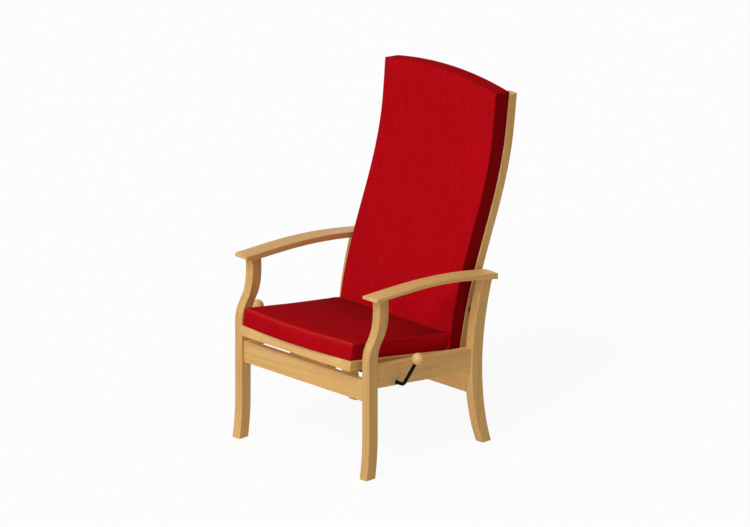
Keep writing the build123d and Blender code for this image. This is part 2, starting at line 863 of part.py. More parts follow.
board_screw_length = back_rail_thickness - screw_sink + back_board_thickness * screw_bite_share
board_screw_spots = []
for centre in upper_rail_centres:
    rail_slice = back_slice(centre)
    for share in board_screw_shares:
        rear_face = rail_slice.origin + Vector(upright_inner_x * share, back_rail_thickness, 0)
        board_screw_spots.append((tuple(rear_face - rail_slice.y_dir * screw_sink), tuple(rail_slice.y_dir)))
board_screws = screw_set(board_screw_spots, board_screw_length)
save(board_screws, "back_board_screws")
board_screw_holes = screw_set(board_screw_spots, board_screw_length, screw_clearance)

with BuildPart() as back_upright_left:
    add(back_strip(0, upright_depth, back_base_height, back_top_height, upright_inner_x, upright_width))
    fillet(long_edges(back_upright_left), upright_edge_radius)
    with BuildSketch(side_plane(upright_inner_x)):
        with Locations((pivot_back, pivot_height)):
            Circle(pivot_bolt_radius + running_clearance)
    extrude(amount=upright_width, mode=Mode.SUBTRACT)
    with BuildSketch(side_plane(upright_outer_x)):
        with Locations((seat_pivot_back, seat_pivot_height)):
            Circle(seat_bolt_radius + running_clearance)
    extrude(amount=-upright_width * seat_bolt_depth_share - side_gap, mode=Mode.SUBTRACT)
    add(back_dowel_holes.part, mode=Mode.SUBTRACT)
save_pair(back_upright_left, "back_upright")

# Lugs on the lower back rail that hold the rear eye of the gas spring
lug_plate_low = lower_rail_centre - ear_plate_height / 2
lug_slice = back_slice(lower_rail_centre)
ear_outer_x = spring_eye_width / 2 + ear_side_gap + ear_wall
lug_screw_x = (ear_outer_x + ear_plate_width / 2) / 2
lug_screw_spots = [
    (
        tuple(
            back_slice(lug_plate_low + ear_plate_height * share).origin + Vector(side * lug_screw_x, -ear_wall, 0)
        ),
        tuple(-lug_slice.y_dir),
    )
    for side in (-1, 1)
    for share in lug_screw_shares
]
lug_screws = screw_set(lug_screw_spots, screw_length)
save(lug_screws, "spring_lug_screws")
lug_screw_holes = screw_set(lug_screw_spots, screw_length, screw_clearance)

for name, centre, height in zip(back_rail_names, back_rail_centres, back_rail_heights):
    with BuildPart() as back_rail:
        add(
            back_strip(
                0,
                back_rail_thickness,
                centre - height / 2,
                centre + height / 2,
                -upright_inner_x,
                2 * upright_inner_x,
            )
        )
        add(back_dowel_holes.part, mode=Mode.SUBTRACT)
        add(board_screw_holes.part, mode=Mode.SUBTRACT)
        add(lug_screw_holes.part, mode=Mode.SUBTRACT)
    save(back_rail, name)

with BuildPart() as spring_lugs:
    add(
        back_strip(
            -ear_wall,
            0,
            lug_plate_low,
            lug_plate_low + ear_plate_height,
            -ear_plate_width / 2,
            ear_plate_width,
        )
    )
    for side in (-1, 1):
        with BuildSketch(side_plane(side * (spring_eye_width / 2 + ear_side_gap))):
            with BuildLine():
                Polyline(
                    (spring_rear_back, spring_rear_height - ear_radius),
                    (spring_rear_back, spring_rear_height + ear_radius),
                    (spring_rear_back, lug_plate_low + ear_plate_height),
                    (back_base_back + back_rail_thickness, lug_plate_low + ear_plate_height),
                    (back_base_back + back_rail_thickness, lug_plate_low),
                    close=True,
                )
            make_face()
            with Locations((spring_rear_back, spring_rear_height)):
                Circle(ear_radius)
        extrude(amount=side * ear_wall)
    add(
        back_strip(
            0,
            back_cushion_thickness,
            back_base_height,
            back_top_height,
            -ear_plate_width / 2,
            ear_plate_width,
        ),
        mode=Mode.SUBTRACT,
    )
    with BuildSketch(side_plane(-ear_plate_width / 2)):
        with Locations((spring_rear_back, spring_rear_height)):
            Circle(spring_pin_radius + dowel_clearance)
    extrude(amount=ear_plate_width, mode=Mode.SUBTRACT)
    add(lug_screw_holes.part, mode=Mode.SUBTRACT)
save(spring_lugs, "spring_lugs")

with BuildPart() as spring_rear_pin:
    with BuildSketch(side_plane(0)):
        with Locations((spring_rear_back, spring_rear_height)):
            Circle(spring_pin_radius)
    extrude(amount=ear_outer_x + ear_wall, both=True)
save(spring_rear_pin, "spring_rear_pin")


def arched_region(half_width, side_height, arch):
    """Everything above an arch that spans the back, looking from the front."""
    top_slice = back_slice(back_cushion_side_height)
    face = Plane(origin=(0, top_slice.origin.Y, side_height), x_dir=(1, 0, 0), z_dir=-top_slice.y_dir)
    with BuildPart() as region:
        with BuildSketch(face):
            with BuildLine():
                ThreePointArc((-half_width, 0), (0, arch), (half_width, 0))
                Polyline(
                    (half_width, 0),
                    (half_width, cut_reach),
                    (-half_width, cut_reach),
                    (-half_width, 0),
                )
            make_face()
        extrude(amount=cut_reach, both=True)
    return region.part


back_board_half_width = back_cushion_width / 2 - back_board_inset
with BuildPart() as back_board:
    add(
        back_strip(
            -back_board_thickness,
            0,
            back_cushion_bottom + back_board_inset,
            back_cushion_side_height + back_cushion_arch,
            -back_board_half_width,
            2 * back_board_half_width,
        )
    )
    add(
        arched_region(back_cushion_width / 2, back_cushion_side_height - back_board_inset, back_cushion_arch),
        mode=Mode.SUBTRACT,
    )
    add(board_screw_holes.part, mode=Mode.SUBTRACT)
save(back_board, "back_board")


def back_cushion_section(plane, share, thickness_share):
    """Slice of the back cushion: crowned front, sides drawn in halfway up, rounded front corners."""
    half = back_cushion_width / 2 - back_cushion_draw * math.sin(math.pi * share)
    front = -back_cushion_thickness * thickness_share
    with BuildSketch(plane) as section:
        with BuildLine():
            Line((-half, -back_cushion_gap), (half, -back_cushion_gap))
            ThreePointArc((half, -back_cushion_gap), (half - back_cushion_draw, front / 2), (half, front))
            ThreePointArc((half, front), (0, front - back_cushion_crown), (-half, front))
            ThreePointArc((-half, front), (-half + back_cushion_draw, front / 2), (-half, -back_cushion_gap))
        make_face()
        fillet(section.vertices().group_by(Axis.Y)[0], back_cushion_edge_radius)
    return section.sketch


cushion_steps = len(back_cushion_thickness_shares) - 1
cushion_reach = back_cushion_side_height + back_cushion_arch + back_cushion_arch - back_cushion_bottom
cushion_slices = []
for step, thickness_share in enumerate(back_cushion_thickness_shares):
    share = step / cushion_steps
    cushion_slices.append((back_slice(back_cushion_bottom + cushion_reach * share), share, thickness_share))
with BuildPart() as back_cushion:
    loft([back_cushion_section(*cushion_slice) for cushion_slice in cushion_slices])
    add(
        arched_region(back_cushion_width / 2 + back_cushion_arch, back_cushion_side_height, back_cushion_arch),
        mode=Mode.SUBTRACT,
    )
    add(back_board.part, mode=Mode.SUBTRACT)
    add(board_screw_holes.part, mode=Mode.SUBTRACT)
save(back_cushion, "back_cushion")

with BuildPart() as pivot_spacers:
    with BuildSketch(side_plane(upright_outer_x + pivot_spacer_gap)):
        with Locations((pivot_back, pivot_height)):
            Circle(pivot_spacer_radius)
            Circle(pivot_bolt_radius + dowel_clearance, mode=Mode.SUBTRACT)
    extrude(amount=upright_clearance - pivot_spacer_gap)
    mirror(about=Plane.YZ)
save(pivot_spacers, "pivot_spacers")

with BuildPart() as pivot_bolts:
    with BuildSketch(side_plane(upright_inner_x - side_gap)):
        with Locations((pivot_back, pivot_height)):
            Circle(pivot_bolt_radius)
    extrude(amount=side_gap + upright_width + upright_clearance + pivot_thread_depth)
    with BuildSketch(side_plane(upright_inner_x - side_gap)):
        with Locations((pivot_back, pivot_height)):
            Circle(pivot_head_radius)
    extrude(amount=-pivot_head_thickness)
    mirror(about=Plane.YZ)
save(pivot_bolts, "pivot_bolts")

# Seat frame, whose side members end in hinge plates on the lower ends of the uprights
pivot_run, pivot_lift = along_seat(seat_pivot_back, seat_pivot_height)
seat_side_length = pivot_run - seat_member_gap
slat_runs = [seat_side_length * share for share in seat_slat_shares]
slat_lift = seat_member_height - seat_slat_thickness


def seat_spot(x, run, lift):
    return tuple(seat_plane(lift).from_local_coords((x, run, 0)))


seat_dowel_places = [(seat_front_thickness / 2, seat_member_height * share) for share in seat_dowel_shares]
seat_dowel_places += [(run, slat_lift + seat_slat_thickness / 2) for run in slat_runs]
seat_dowel_spots = [
    Location(seat_spot(side * seat_inner_x, run, lift), (0, quarter_turn, 0))
    for side in (-1, 1)
    for run, lift in seat_dowel_places
]
with BuildPart() as seat_dowels:
    with Locations(*seat_dowel_spots):
        Cylinder(dowel_radius, dowel_length)
save(seat_dowels, "seat_dowels")

with BuildPart() as seat_dowel_holes:
    with Locations(*seat_dowel_spots):
        Cylinder(dowel_radius + dowel_clearance, dowel_length + 2 * dowel_clearance)

seat_down = tuple(-seat_plane(0).z_dir)
seat_board_screw_length = seat_slat_thickness + seat_board_thickness * screw_bite_share
seat_board_screw_spots = [
    (seat_spot(seat_inner_x * share, run, slat_lift), seat_down)
    for run in slat_runs
    for share in slat_screw_shares
]
seat_board_screws = screw_set(seat_board_screw_spots, seat_board_screw_length)
save(seat_board_screws, "seat_board_screws")
seat_board_screw_holes = screw_set(seat_board_screw_spots, seat_board_screw_length, screw_clearance)

hinge_screw_spots = both_sides(
    [
        (
            seat_spot(seat_outer_x + hinge_plate_thickness, pivot_run - hinge_plate_length * share, pivot_lift),
            (1, 0, 0),
        )
        for share in hinge_screw_shares
    ]
)
hinge_screws = screw_set(hinge_screw_spots, screw_length)
save(hinge_screws, "hinge_plate_screws")
hinge_screw_holes = screw_set(hinge_screw_spots, screw_length, screw_clearance)

with BuildPart() as seat_side_left:
    with BuildSketch(seat_side_plane(seat_inner_x)):
        Rectangle(seat_side_length, seat_member_height, align=(Align.MIN, Align.MIN))
    extrude(amount=seat_side_width)
    fillet(seat_side_left.edges(), seat_edge_radius)
    add(seat_dowel_holes.part, mode=Mode.SUBTRACT)
    add(hinge_screw_holes.part, mode=Mode.SUBTRACT)
save_pair(seat_side_left, "seat_side")

with BuildPart() as seat_front_member:
    with BuildSketch(seat_plane(0)):
        Rectangle(2 * seat_inner_x, seat_front_thickness, align=(Align.CENTER, Align.MIN))
    extrude(amount=seat_member_height)
    fillet(seat_front_member.edges(), seat_edge_radius)
    add(seat_dowel_holes.part, mode=Mode.SUBTRACT)
save(seat_front_member, "seat_front_member")

for name, run in zip(("seat_middle_slat", "seat_rear_slat"), slat_runs):
    with BuildPart() as slat:
        with BuildSketch(seat_plane(slat_lift)):
            with Locations((0, run)):
                Rectangle(2 * seat_inner_x, seat_slat_width)
        extrude(amount=seat_slat_thickness)
        add(seat_dowel_holes.part, mode=Mode.SUBTRACT)
        add(seat_board_screw_holes.part, mode=Mode.SUBTRACT)
    save(slat, name)

with BuildPart() as hinge_plates:
    with BuildSketch(seat_side_plane(seat_outer_x)):
        with Locations((pivot_run, pivot_lift)):
            Rectangle(
                hinge_plate_length - hinge_plate_height / 2,
                hinge_plate_height,
                align=(Align.MAX, Align.CENTER),
            )
            Circle(hinge_plate_height / 2)
            Circle(seat_bolt_radius + dowel_clearance, mode=Mode.SUBTRACT)
    extrude(amount=hinge_plate_thickness)
    mirror(about=Plane.YZ)
    add(hinge_screw_holes.part, mode=Mode.SUBTRACT)
save(hinge_plates, "hinge_plates")

with BuildPart() as seat_pivot_bolts:
    with BuildSketch(side_plane(seat_outer_x + hinge_plate_thickness)):
        with Locations((seat_pivot_back, seat_pivot_height)):
            Circle(seat_bolt_radius)
    extrude(amount=-hinge_plate_thickness - upright_width * seat_bolt_depth_share)
    with BuildSketch(side_plane(seat_outer_x + hinge_plate_thickness)):
        with Locations((seat_pivot_back, seat_pivot_height)):
            Circle(seat_bolt_head_radius)
    extrude(amount=seat_bolt_head_thickness)
    mirror(about=Plane.YZ)
save(seat_pivot_bolts, "seat_pivot_bolts")

# Seat board and cushion: bowed front, drawn-in sides, soft upper edge and a low crown
seat_top_plane = seat_plane(seat_member_height)
with BuildPart() as back_cushion_by_seat:
    add(back_cushion.part)
    with BuildSketch(seat_top_plane):
        Rectangle(seat_cushion_width, cut_reach)
    extrude(amount=seat_cushion_thickness + seat_cushion_crown, mode=Mode.INTERSECT)
back_cushion_run = seat_top_plane.to_local_coords(back_cushion_by_seat.part).bounding_box().min.Y
seat_cushion_rear = back_cushion_run - seat_cushion_gap
seat_cushion_half = seat_cushion_width / 2

with BuildPart() as seat_board:
    with BuildSketch(seat_top_plane):
        board_front = seat_cushion_corner + seat_board_inset
        with Locations((0, board_front)):
            Rectangle(
                seat_cushion_width - 2 * seat_board_inset,
                seat_cushion_rear - board_front - seat_board_inset,
                align=(Align.CENTER, Align.MIN),
            )
    extrude(amount=seat_board_thickness)
    add(seat_board_screw_holes.part, mode=Mode.SUBTRACT)
save(seat_board, "seat_board")


def seat_crown_section(run, crown):
    """Upright slice of the space under the cushion's crowned top, at a run down the seat."""
    foot = seat_top_plane.from_local_coords((0, run, 0))
    half = seat_cushion_half + seat_cushion_draw
    with BuildSketch(Plane(origin=foot, x_dir=(1, 0, 0), z_dir=seat_side_plane(0).x_dir)) as section:
        with BuildLine():
            Polyline((-half, -seat_cushion_thickness), (-half, 0), (half, 0), (half, -seat_cushion_thickness))
            ThreePointArc(
                (-half, -seat_cushion_thickness),
                (0, -seat_cushion_thickness - crown),
                (half, -seat_cushion_thickness),
            )
        make_face()
    return section.sketch


seat_middle_run = (seat_nose_run + seat_cushion_rear) / 2
with BuildPart() as seat_cushion:
    with BuildSketch(seat_top_plane):
        with BuildLine():
            front_left = (seat_cushion_half, seat_cushion_corner)
            front_right = (-seat_cushion_half, seat_cushion_corner)
            rear_left = (seat_cushion_half, seat_cushion_rear)
            rear_right = (-seat_cushion_half, seat_cushion_rear)
            ThreePointArc(front_right, (0, seat_nose_run), front_left)
            ThreePointArc(front_left, (seat_cushion_half - seat_cushion_draw, seat_middle_run), rear_left)
            Line(rear_left, rear_right)
            ThreePointArc(rear_right, (seat_cushion_draw - seat_cushion_half, seat_middle_run), front_right)
        make_face()
    extrude(amount=seat_cushion_thickness + seat_cushion_crown)
    loft(
        [
            seat_crown_section(seat_nose_run - seat_cushion_bow, seat_cushion_crown * seat_crown_end_share),
            seat_crown_section(seat_middle_run, seat_cushion_crown),
            seat_crown_section(seat_cushion_rear + seat_cushion_bow, seat_cushion_crown * seat_crown_end_share),
        ],
        mode=Mode.INTERSECT,
    )
    fillet(seat_cushion.faces().sort_by(Axis.Z)[-1].edges(), seat_cushion_edge_radius)
    fillet(seat_cushion.faces().sort_by(Axis.Z)[0].edges(), seat_cushion_foot_radius)
    add(seat_board.part, mode=Mode.SUBTRACT)
    add(seat_board_screw_holes.part, mode=Mode.SUBTRACT)
save(seat_cushion, "seat_cushion")

# Release lever: one shaft through both side rails, a cranked arm and a ball knob at each end
arm_root_x = side_rail_outer_x - lever_joint_depth
with BuildPart() as lever_shaft:
    with BuildSketch(side_plane(0)):
        with Locations((lever_back, lever_height)):
            Circle(lever_radius)
    extrude(amount=arm_root_x, both=True)
save(lever_shaft, "lever_shaft")

bend_x = side_rail_outer_x + lever_out
arm_root = Vector(*place(arm_root_x, lever_back, lever_height))
arm_bend = Vector(*place(bend_x, lever_back, lever_height))
knob_centre = Vector(*place(bend_x + knob_out, lever_back + knob_rear, lever_height + knob_rise))
arm_end = knob_centre - (knob_centre - arm_bend).normalized() * (knob_radius - knob_socket_depth)
with BuildPart() as lever_arm_left:
    with BuildLine():
        FilletPolyline(arm_root, arm_bend, arm_end, radius=lever_bend_radius)
    with BuildSketch(Plane(origin=arm_root, z_dir=(1, 0, 0))):
        Circle(lever_radius)
    sweep()
save_pair(lever_arm_left, "lever_arm")

with BuildPart() as lever_knob_left:
    with Locations(knob_centre):
        Sphere(knob_radius)
    add(lever_arm_left.part, mode=Mode.SUBTRACT)
save_pair(lever_knob_left, "lever_knob")

with BuildPart() as lever_paddle:
    with BuildSketch(floor_plane(lever_height)):
        with Locations((0, lever_back)):
            Rectangle(paddle_width, paddle_thickness)
    extrude(amount=paddle_rise)
    add(lever_shaft.part, mode=Mode.SUBTRACT)
save(lever_paddle, "lever_paddle")

# Locking gas spring under the seat, from the front block to the lower back rail
spring_run = spring_rear_back - spring_front_back
spring_fall = spring_front_height - spring_rear_height
spring_length = math.hypot(spring_run, spring_fall)
spring_head_front = -spring_head_length / 2
paddle_face_back = lever_back + paddle_thickness / 2 + paddle_gap
release_pin_tip = (paddle_face_back - spring_front_back) * spring_length / spring_run
release_pin_seat_end = spring_head_front + release_pin_seat
tube_rear = spring_length - spring_eye_radius - spring_pin_play
tube_front = tube_rear - spring_tube_length


def spring_side_plane(x):
    """Upright plane whose local x runs down the spring to the rear from its front pivot."""
    return Plane(
        origin=place(x, spring_front_back, spring_front_height),
        x_dir=(0, spring_run / spring_length, -spring_fall / spring_length),
        z_dir=(1, 0, 0),
    )


def spring_end_plane(run):
    """Plane square to the spring, at a run from its front pivot, facing the rear."""
    side = spring_side_plane(0)
    return Plane(origin=side.from_local_coords((run, 0, 0)), x_dir=(1, 0, 0), z_dir=side.x_dir)


with BuildPart() as spring_head:
    with BuildSketch(spring_side_plane(-spring_head_size / 2)):
        Rectangle(spring_head_length, spring_head_size)
        Circle(spring_pin_radius + running_clearance, mode=Mode.SUBTRACT)
    extrude(amount=spring_head_size)
    with BuildSketch(spring_end_plane(spring_head_front)):
        Circle(release_pin_radius + running_clearance)
    extrude(amount=release_pin_seat + release_pin_travel, mode=Mode.SUBTRACT)
save(spring_head, "spring_head")

with BuildPart() as release_pin:
    with BuildSketch(spring_end_plane(release_pin_tip)):
        Circle(release_pin_radius)
    extrude(amount=release_pin_seat_end - release_pin_tip)
save(release_pin, "release_pin")

rod_end = tube_front + spring_rod_overlap
with BuildPart() as spring_rod:
    with BuildSketch(spring_end_plane(-spring_head_front)):
        Circle(spring_rod_radius)
    extrude(amount=rod_end + spring_head_front)
    with BuildSketch(spring_end_plane(rod_end)):
        Circle(spring_tube_radius - spring_tube_wall - dowel_clearance)
    extrude(amount=spring_piston_length)
save(spring_rod, "spring_rod")

with BuildPart() as spring_tube:
    with BuildSketch(spring_end_plane(tube_front)):
        Circle(spring_tube_radius)
    extrude(amount=spring_tube_length)
    with BuildSketch(spring_end_plane(tube_front + spring_guide_length)):
        Circle(spring_tube_radius - spring_tube_wall)
    extrude(amount=spring_tube_length - 2 * spring_guide_length, mode=Mode.SUBTRACT)
    with BuildSketch(spring_end_plane(tube_front)):
        Circle(spring_rod_radius + running_clearance)
    extrude(amount=spring_guide_length, mode=Mode.SUBTRACT)
    with BuildSketch(spring_side_plane(-spring_eye_width / 2)):
        with Locations((spring_length, 0)):
            Circle(spring_eye_radius)
            Rectangle(spring_length - tube_rear, spring_eye_width, align=(Align.MAX, Align.CENTER))
            Circle(spring_pin_radius + spring_pin_play, mode=Mode.SUBTRACT)
    extrude(amount=spring_eye_width)
save(spring_tube, "spring_tube")
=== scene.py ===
"""High-back reclining armchair: beech frame, red cloth cushions, and the studio it is seen in.

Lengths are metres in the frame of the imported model: Z up, the sitter faces -Y, the sitter's left is +X.
"Back" distances run rearwards from the front of the front feet. A "run" is a distance along a cushion's
face, up the back or rearwards on the seat, and a "depth" stands out of that face.
"""

import json
import math
from collections import namedtuple

import bpy
import numpy as np
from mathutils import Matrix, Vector


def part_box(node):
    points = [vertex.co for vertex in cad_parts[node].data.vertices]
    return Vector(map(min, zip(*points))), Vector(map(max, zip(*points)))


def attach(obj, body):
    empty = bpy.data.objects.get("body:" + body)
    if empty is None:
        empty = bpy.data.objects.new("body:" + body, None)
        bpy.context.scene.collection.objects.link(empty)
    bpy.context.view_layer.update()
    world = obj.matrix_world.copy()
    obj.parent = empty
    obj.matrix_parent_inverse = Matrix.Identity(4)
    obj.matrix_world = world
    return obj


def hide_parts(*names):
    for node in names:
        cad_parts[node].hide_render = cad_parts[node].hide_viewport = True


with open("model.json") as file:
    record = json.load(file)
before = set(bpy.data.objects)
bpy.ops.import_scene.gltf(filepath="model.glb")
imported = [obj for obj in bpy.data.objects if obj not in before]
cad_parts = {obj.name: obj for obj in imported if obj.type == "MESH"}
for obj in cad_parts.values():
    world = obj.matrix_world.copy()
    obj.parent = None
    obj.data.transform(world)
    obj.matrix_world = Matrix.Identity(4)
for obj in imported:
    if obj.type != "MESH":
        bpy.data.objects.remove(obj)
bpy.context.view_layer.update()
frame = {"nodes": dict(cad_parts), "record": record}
nodes = frame["nodes"]
scene = bpy.context.scene
scene.view_settings.view_transform = "Standard"

ORIGIN_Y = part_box("front_leg_left")[0].y

# Camera: a parallel view from the sitter's front left, two parts across, two forward and one up
PICTURE_WIDTH, PICTURE_HEIGHT = 750, 527
PIXELS_PER_METRE = 303.0
FEET_PIXEL = (299.35, 460.0)  # the floor midway between the front feet
VIEW_RIGHT = (1, 1, 0)
VIEW_FROM = (2, -2, 1)
CAMERA_DISTANCE = 4.0
CAMERA_REACH = 40.0

view_right = Vector(VIEW_RIGHT).normalized()
view_back = Vector(VIEW_FROM).normalized()
view_up = view_back.cross(view_right)
aim = (
    Vector((0, ORIGIN_Y, 0))
    + view_right * (PICTURE_WIDTH / 2 - FEET_PIXEL[0]) / PIXELS_PER_METRE
    + view_up * (FEET_PIXEL[1] - PICTURE_HEIGHT / 2) / PIXELS_PER_METRE
)
camera = bpy.data.objects.new("camera", bpy.data.cameras.new("camera"))
camera.data.type = "ORTHO"
camera.data.ortho_scale = PICTURE_WIDTH / PIXELS_PER_METRE
camera.data.clip_end = CAMERA_REACH
camera.location = aim + view_back * CAMERA_DISTANCE
camera.rotation_euler = view_back.to_track_quat("Z", "Y").to_euler()
scene.collection.objects.link(camera)
scene.camera = camera


# Node materials
class Surface:
    """A material built by short calls. Sockets given at the start hold one value for the whole surface."""

    def __init__(self, name, sockets):
        self.material = bpy.data.materials.new(name)
        self.material.use_nodes = True
        self.tree = self.material.node_tree
        self.shader = self.tree.nodes["Principled BSDF"]
        for socket, value in sockets.items():
            self.shader.inputs[socket].default_value = value

    def node(self, kind, inputs, **settings):
        made = self.tree.nodes.new("ShaderNode" + kind)
        for key, value in settings.items():
            setattr(made, key, value)
        for socket, value in inputs.items():
            self.feed(made.inputs[socket], value)
        return made

    def feed(self, socket, value):
        if isinstance(value, bpy.types.NodeSocket):
            self.tree.links.new(value, socket)
        else:
            socket.default_value = value

    def maths(self, operation, *values):
        return self.node("Math", dict(enumerate(values)), operation=operation).outputs[0]

    def weighted_sum(self, *terms):
        """Sum of (output, share) terms."""
        total = 0.0
        for output, share in terms:
            total = self.maths("MULTIPLY_ADD", output, share, total)
        return total

    def vectors(self, operation, first, second):
        return self.node("VectorMath", {0: first, 1: second}, operation=operation).outputs[0]

    def coordinates(self, shift=(0, 0, 0), turn=(0, 0, 0), kind="Object"):
        place = self.node("TexCoord", {}).outputs[kind]
        return self.node("Mapping", {"Vector": place, "Location": shift, "Rotation": turn}).outputs[0]

    def attribute(self, name):
        return self.node("Attribute", {}, attribute_name=name).outputs["Fac"]

    def stretched(self, vector, factors):
        return self.vectors("MULTIPLY", vector, factors)

    def noise(self, vector, scale=1.0, detail=2.0, output="Fac"):
        return self.node("TexNoise", {"Vector": vector, "Scale": scale, "Detail": detail}).outputs[output]

    def grained(self, vector, axis, repeats, **settings):
        """Noise drawn out along an axis. It repeats so often per metre along it and across it."""
        return self.noise(self.stretched(vector, drawn_out(axis, *repeats)), **settings)

    def ramp(self, value, stops):
        """Colour or grey by value, from (place, colour) stops."""
        made = self.node("ValToRGB", {"Fac": value})
        made.color_ramp.interpolation = "EASE"
        points = made.color_ramp.elements
        while len(points) < len(stops):
            points.new(1.0)
        for point, (place, colour) in zip(points, stops):
            point.position = place
            point.color = (*colour, 1) if hasattr(colour, "__len__") else (colour, colour, colour, 1)
        return made.outputs["Color"]

    def mix(self, share, first, second, blend="MIX"):
        inputs = {"Fac": share, "Color1": first, "Color2": second}
        return self.node("MixRGB", inputs, blend_type=blend).outputs[0]

    def tinted(self, colour, *layers):
        """Colour multiplied by the ramp of each (value, stops) layer."""
        for value, stops in layers:
            colour = self.mix(1.0, colour, self.ramp(value, stops), "MULTIPLY")
        return colour

    def remap(self, value, low, high):
        return self.node("MapRange", {"Value": value, "To Min": low, "To Max": high}).outputs[0]

    def bump(self, height, strength, distance):
        return self.node("Bump", {"Height": height, "Strength": strength, "Distance": distance}).outputs[0]

    def finish(self, **links):
        """Links outputs to the shader's sockets, named with _ for a space."""
        for socket, value in links.items():
            self.feed(self.shader.inputs[socket.replace("_", " ")], value)
        return self.material


def drawn_out(axis, along, across):
    """Factors that repeat a pattern so often per metre along one axis, and so often across it."""
    return tuple(along if each == axis else across for each in "XYZ")


Finish = namedtuple("Finish", "warm mid pale roughness relief")
LACQUERED = Finish((0.648, 0.375, 0.126), (0.708, 0.429, 0.155), (0.752, 0.476, 0.184), (0.36, 0.5), 0.22)
BARE = Finish((0.53, 0.32, 0.12), (0.62, 0.40, 0.17), (0.70, 0.47, 0.22), (0.6, 0.78), 0.45)

# Beech: repeats per metre along the grain and across it, and the tints of each pattern from low to high
DRIFT_REPEATS, DRIFT_REACH = (1.1, 9), 0.045
STREAK_REPEATS, STREAK_STOPS = (1.4, 62), (0.28, 0.47, 0.70)
FIBRE_REPEATS, FIBRE_TINTS = (26, 1100), [(0.3, 0.93), (0.7, 1.06)]
FLECK_REPEATS, FLECK_TINTS = (150, 620), [(0.12, (0.76, 0.68, 0.6)), (0.27, 1.0)]
PATCH_REPEATS, PATCH_TINTS = (2.5, 16), [(0.3, (0.955, 0.94, 0.92)), (0.7, (1.03, 1.035, 1.04))]
RING_SCALE = 58.0
RING_TINTS = [(0.0, 1.01), (0.62, (1.0, 0.995, 0.985)), (0.93, (0.95, 0.925, 0.89)), (1.0, 1.01)]
PITH_DISTANCE, PITH_SPREAD = 0.11, 0.03
PIECE_STEPS = (0.31, 0.23, 0.41)  # how far apart in the pattern two pieces are cut
WOOD_GLOSS = 0.08
WOOD_POLISH, KNOB_POLISH = 0.03, 0.25
WOOD_RELIEF_HEIGHT = 0.0004


def wood(name, grain, number, finish, polish, tone):
    """Beech sawn along one axis: faint growth rings, streaks, fine fibre and short dark ray flecks."""
    sockets = {"Specular IOR Level": WOOD_GLOSS, "Coat Weight": polish, "Coat Roughness": 0.22}
    surface = Surface(name, sockets)
    pith = PITH_DISTANCE + PITH_SPREAD * math.sin(1.7 * number)
    x, y, z = (step * number for step in PIECE_STEPS)
    shift = {"X": (x, pith, pith), "Y": (pith, y, pith), "Z": (pith, y, z)}[grain]
    turn = (0.02 * math.sin(number), 0.03 * math.cos(1.3 * number), 0.02 * math.sin(2.1 * number))
    place = surface.coordinates(shift, turn)

    drift = surface.grained(place, grain, DRIFT_REPEATS, output="Color")
    drift = surface.vectors("SUBTRACT", drift, (0.5, 0.5, 0.5))
    bent = surface.vectors("ADD", place, surface.stretched(drift, (DRIFT_REACH,) * 3))
    rings = surface.node(
        "TexWave",
        {"Vector": bent, "Scale": RING_SCALE},
        wave_type="RINGS",
        rings_direction=grain,
        wave_profile="SAW",
    ).outputs["Fac"]
    streaks = surface.grained(bent, grain, STREAK_REPEATS, detail=3.0)
    fibre = surface.grained(place, grain, FIBRE_REPEATS, detail=3.0)
    patches = surface.grained(place, grain, PATCH_REPEATS, detail=1.0)
    cells = surface.stretched(place, drawn_out(grain, *FLECK_REPEATS))
    flecks = surface.node("TexVoronoi", {"Vector": cells, "Scale": 1.0}).outputs["Distance"]

    shades = [tuple(channel * tone for channel in shade) for shade in (finish.warm, finish.mid, finish.pale)]
    colour = surface.tinted(
        surface.ramp(streaks, list(zip(STREAK_STOPS, shades))),
        (rings, RING_TINTS),
        (fibre, FIBRE_TINTS),
        (flecks, FLECK_TINTS),
        (patches, PATCH_TINTS),
    )
    relief = surface.weighted_sum((fibre, 0.6), (rings, 0.25), (flecks, 0.15))
    return surface.finish(
        Base_Color=colour,
        Roughness=surface.remap(fibre, *finish.roughness),
        Normal=surface.bump(relief, finish.relief, WOOD_RELIEF_HEIGHT),
    )


VENEER_REPEATS, VENEER_STOPS = (3, 70), (0.3, 0.5, 0.7)
VENEER_FIBRE_REPEATS = (30, 900)
PLY_SCALE, GLUE_TINTS = 150.0, [(0.1, (0.86, 0.8, 0.74)), (0.5, 1.0)]


def plywood(name, layers):
    """Thin beech plywood: calm face veneer and glue lines that show on the edges."""
    surface = Surface(name, {"Specular IOR Level": 0.14})
    place = surface.coordinates()
    veneer = surface.grained(place, "X", VENEER_REPEATS, detail=3.0)
    fibre = surface.grained(place, "X", VENEER_FIBRE_REPEATS)
    plies = surface.node(
        "TexWave", {"Vector": place, "Scale": PLY_SCALE}, wave_type="BANDS", bands_direction=layers
    ).outputs["Fac"]
    face = surface.ramp(veneer, list(zip(VENEER_STOPS, (BARE.warm, BARE.mid, BARE.pale))))
    return surface.finish(
        Base_Color=surface.tinted(face, (plies, GLUE_TINTS)),
        Roughness=surface.remap(fibre, 0.62, 0.8),
        Normal=surface.bump(fibre, 0.3, 0.0003),
    )


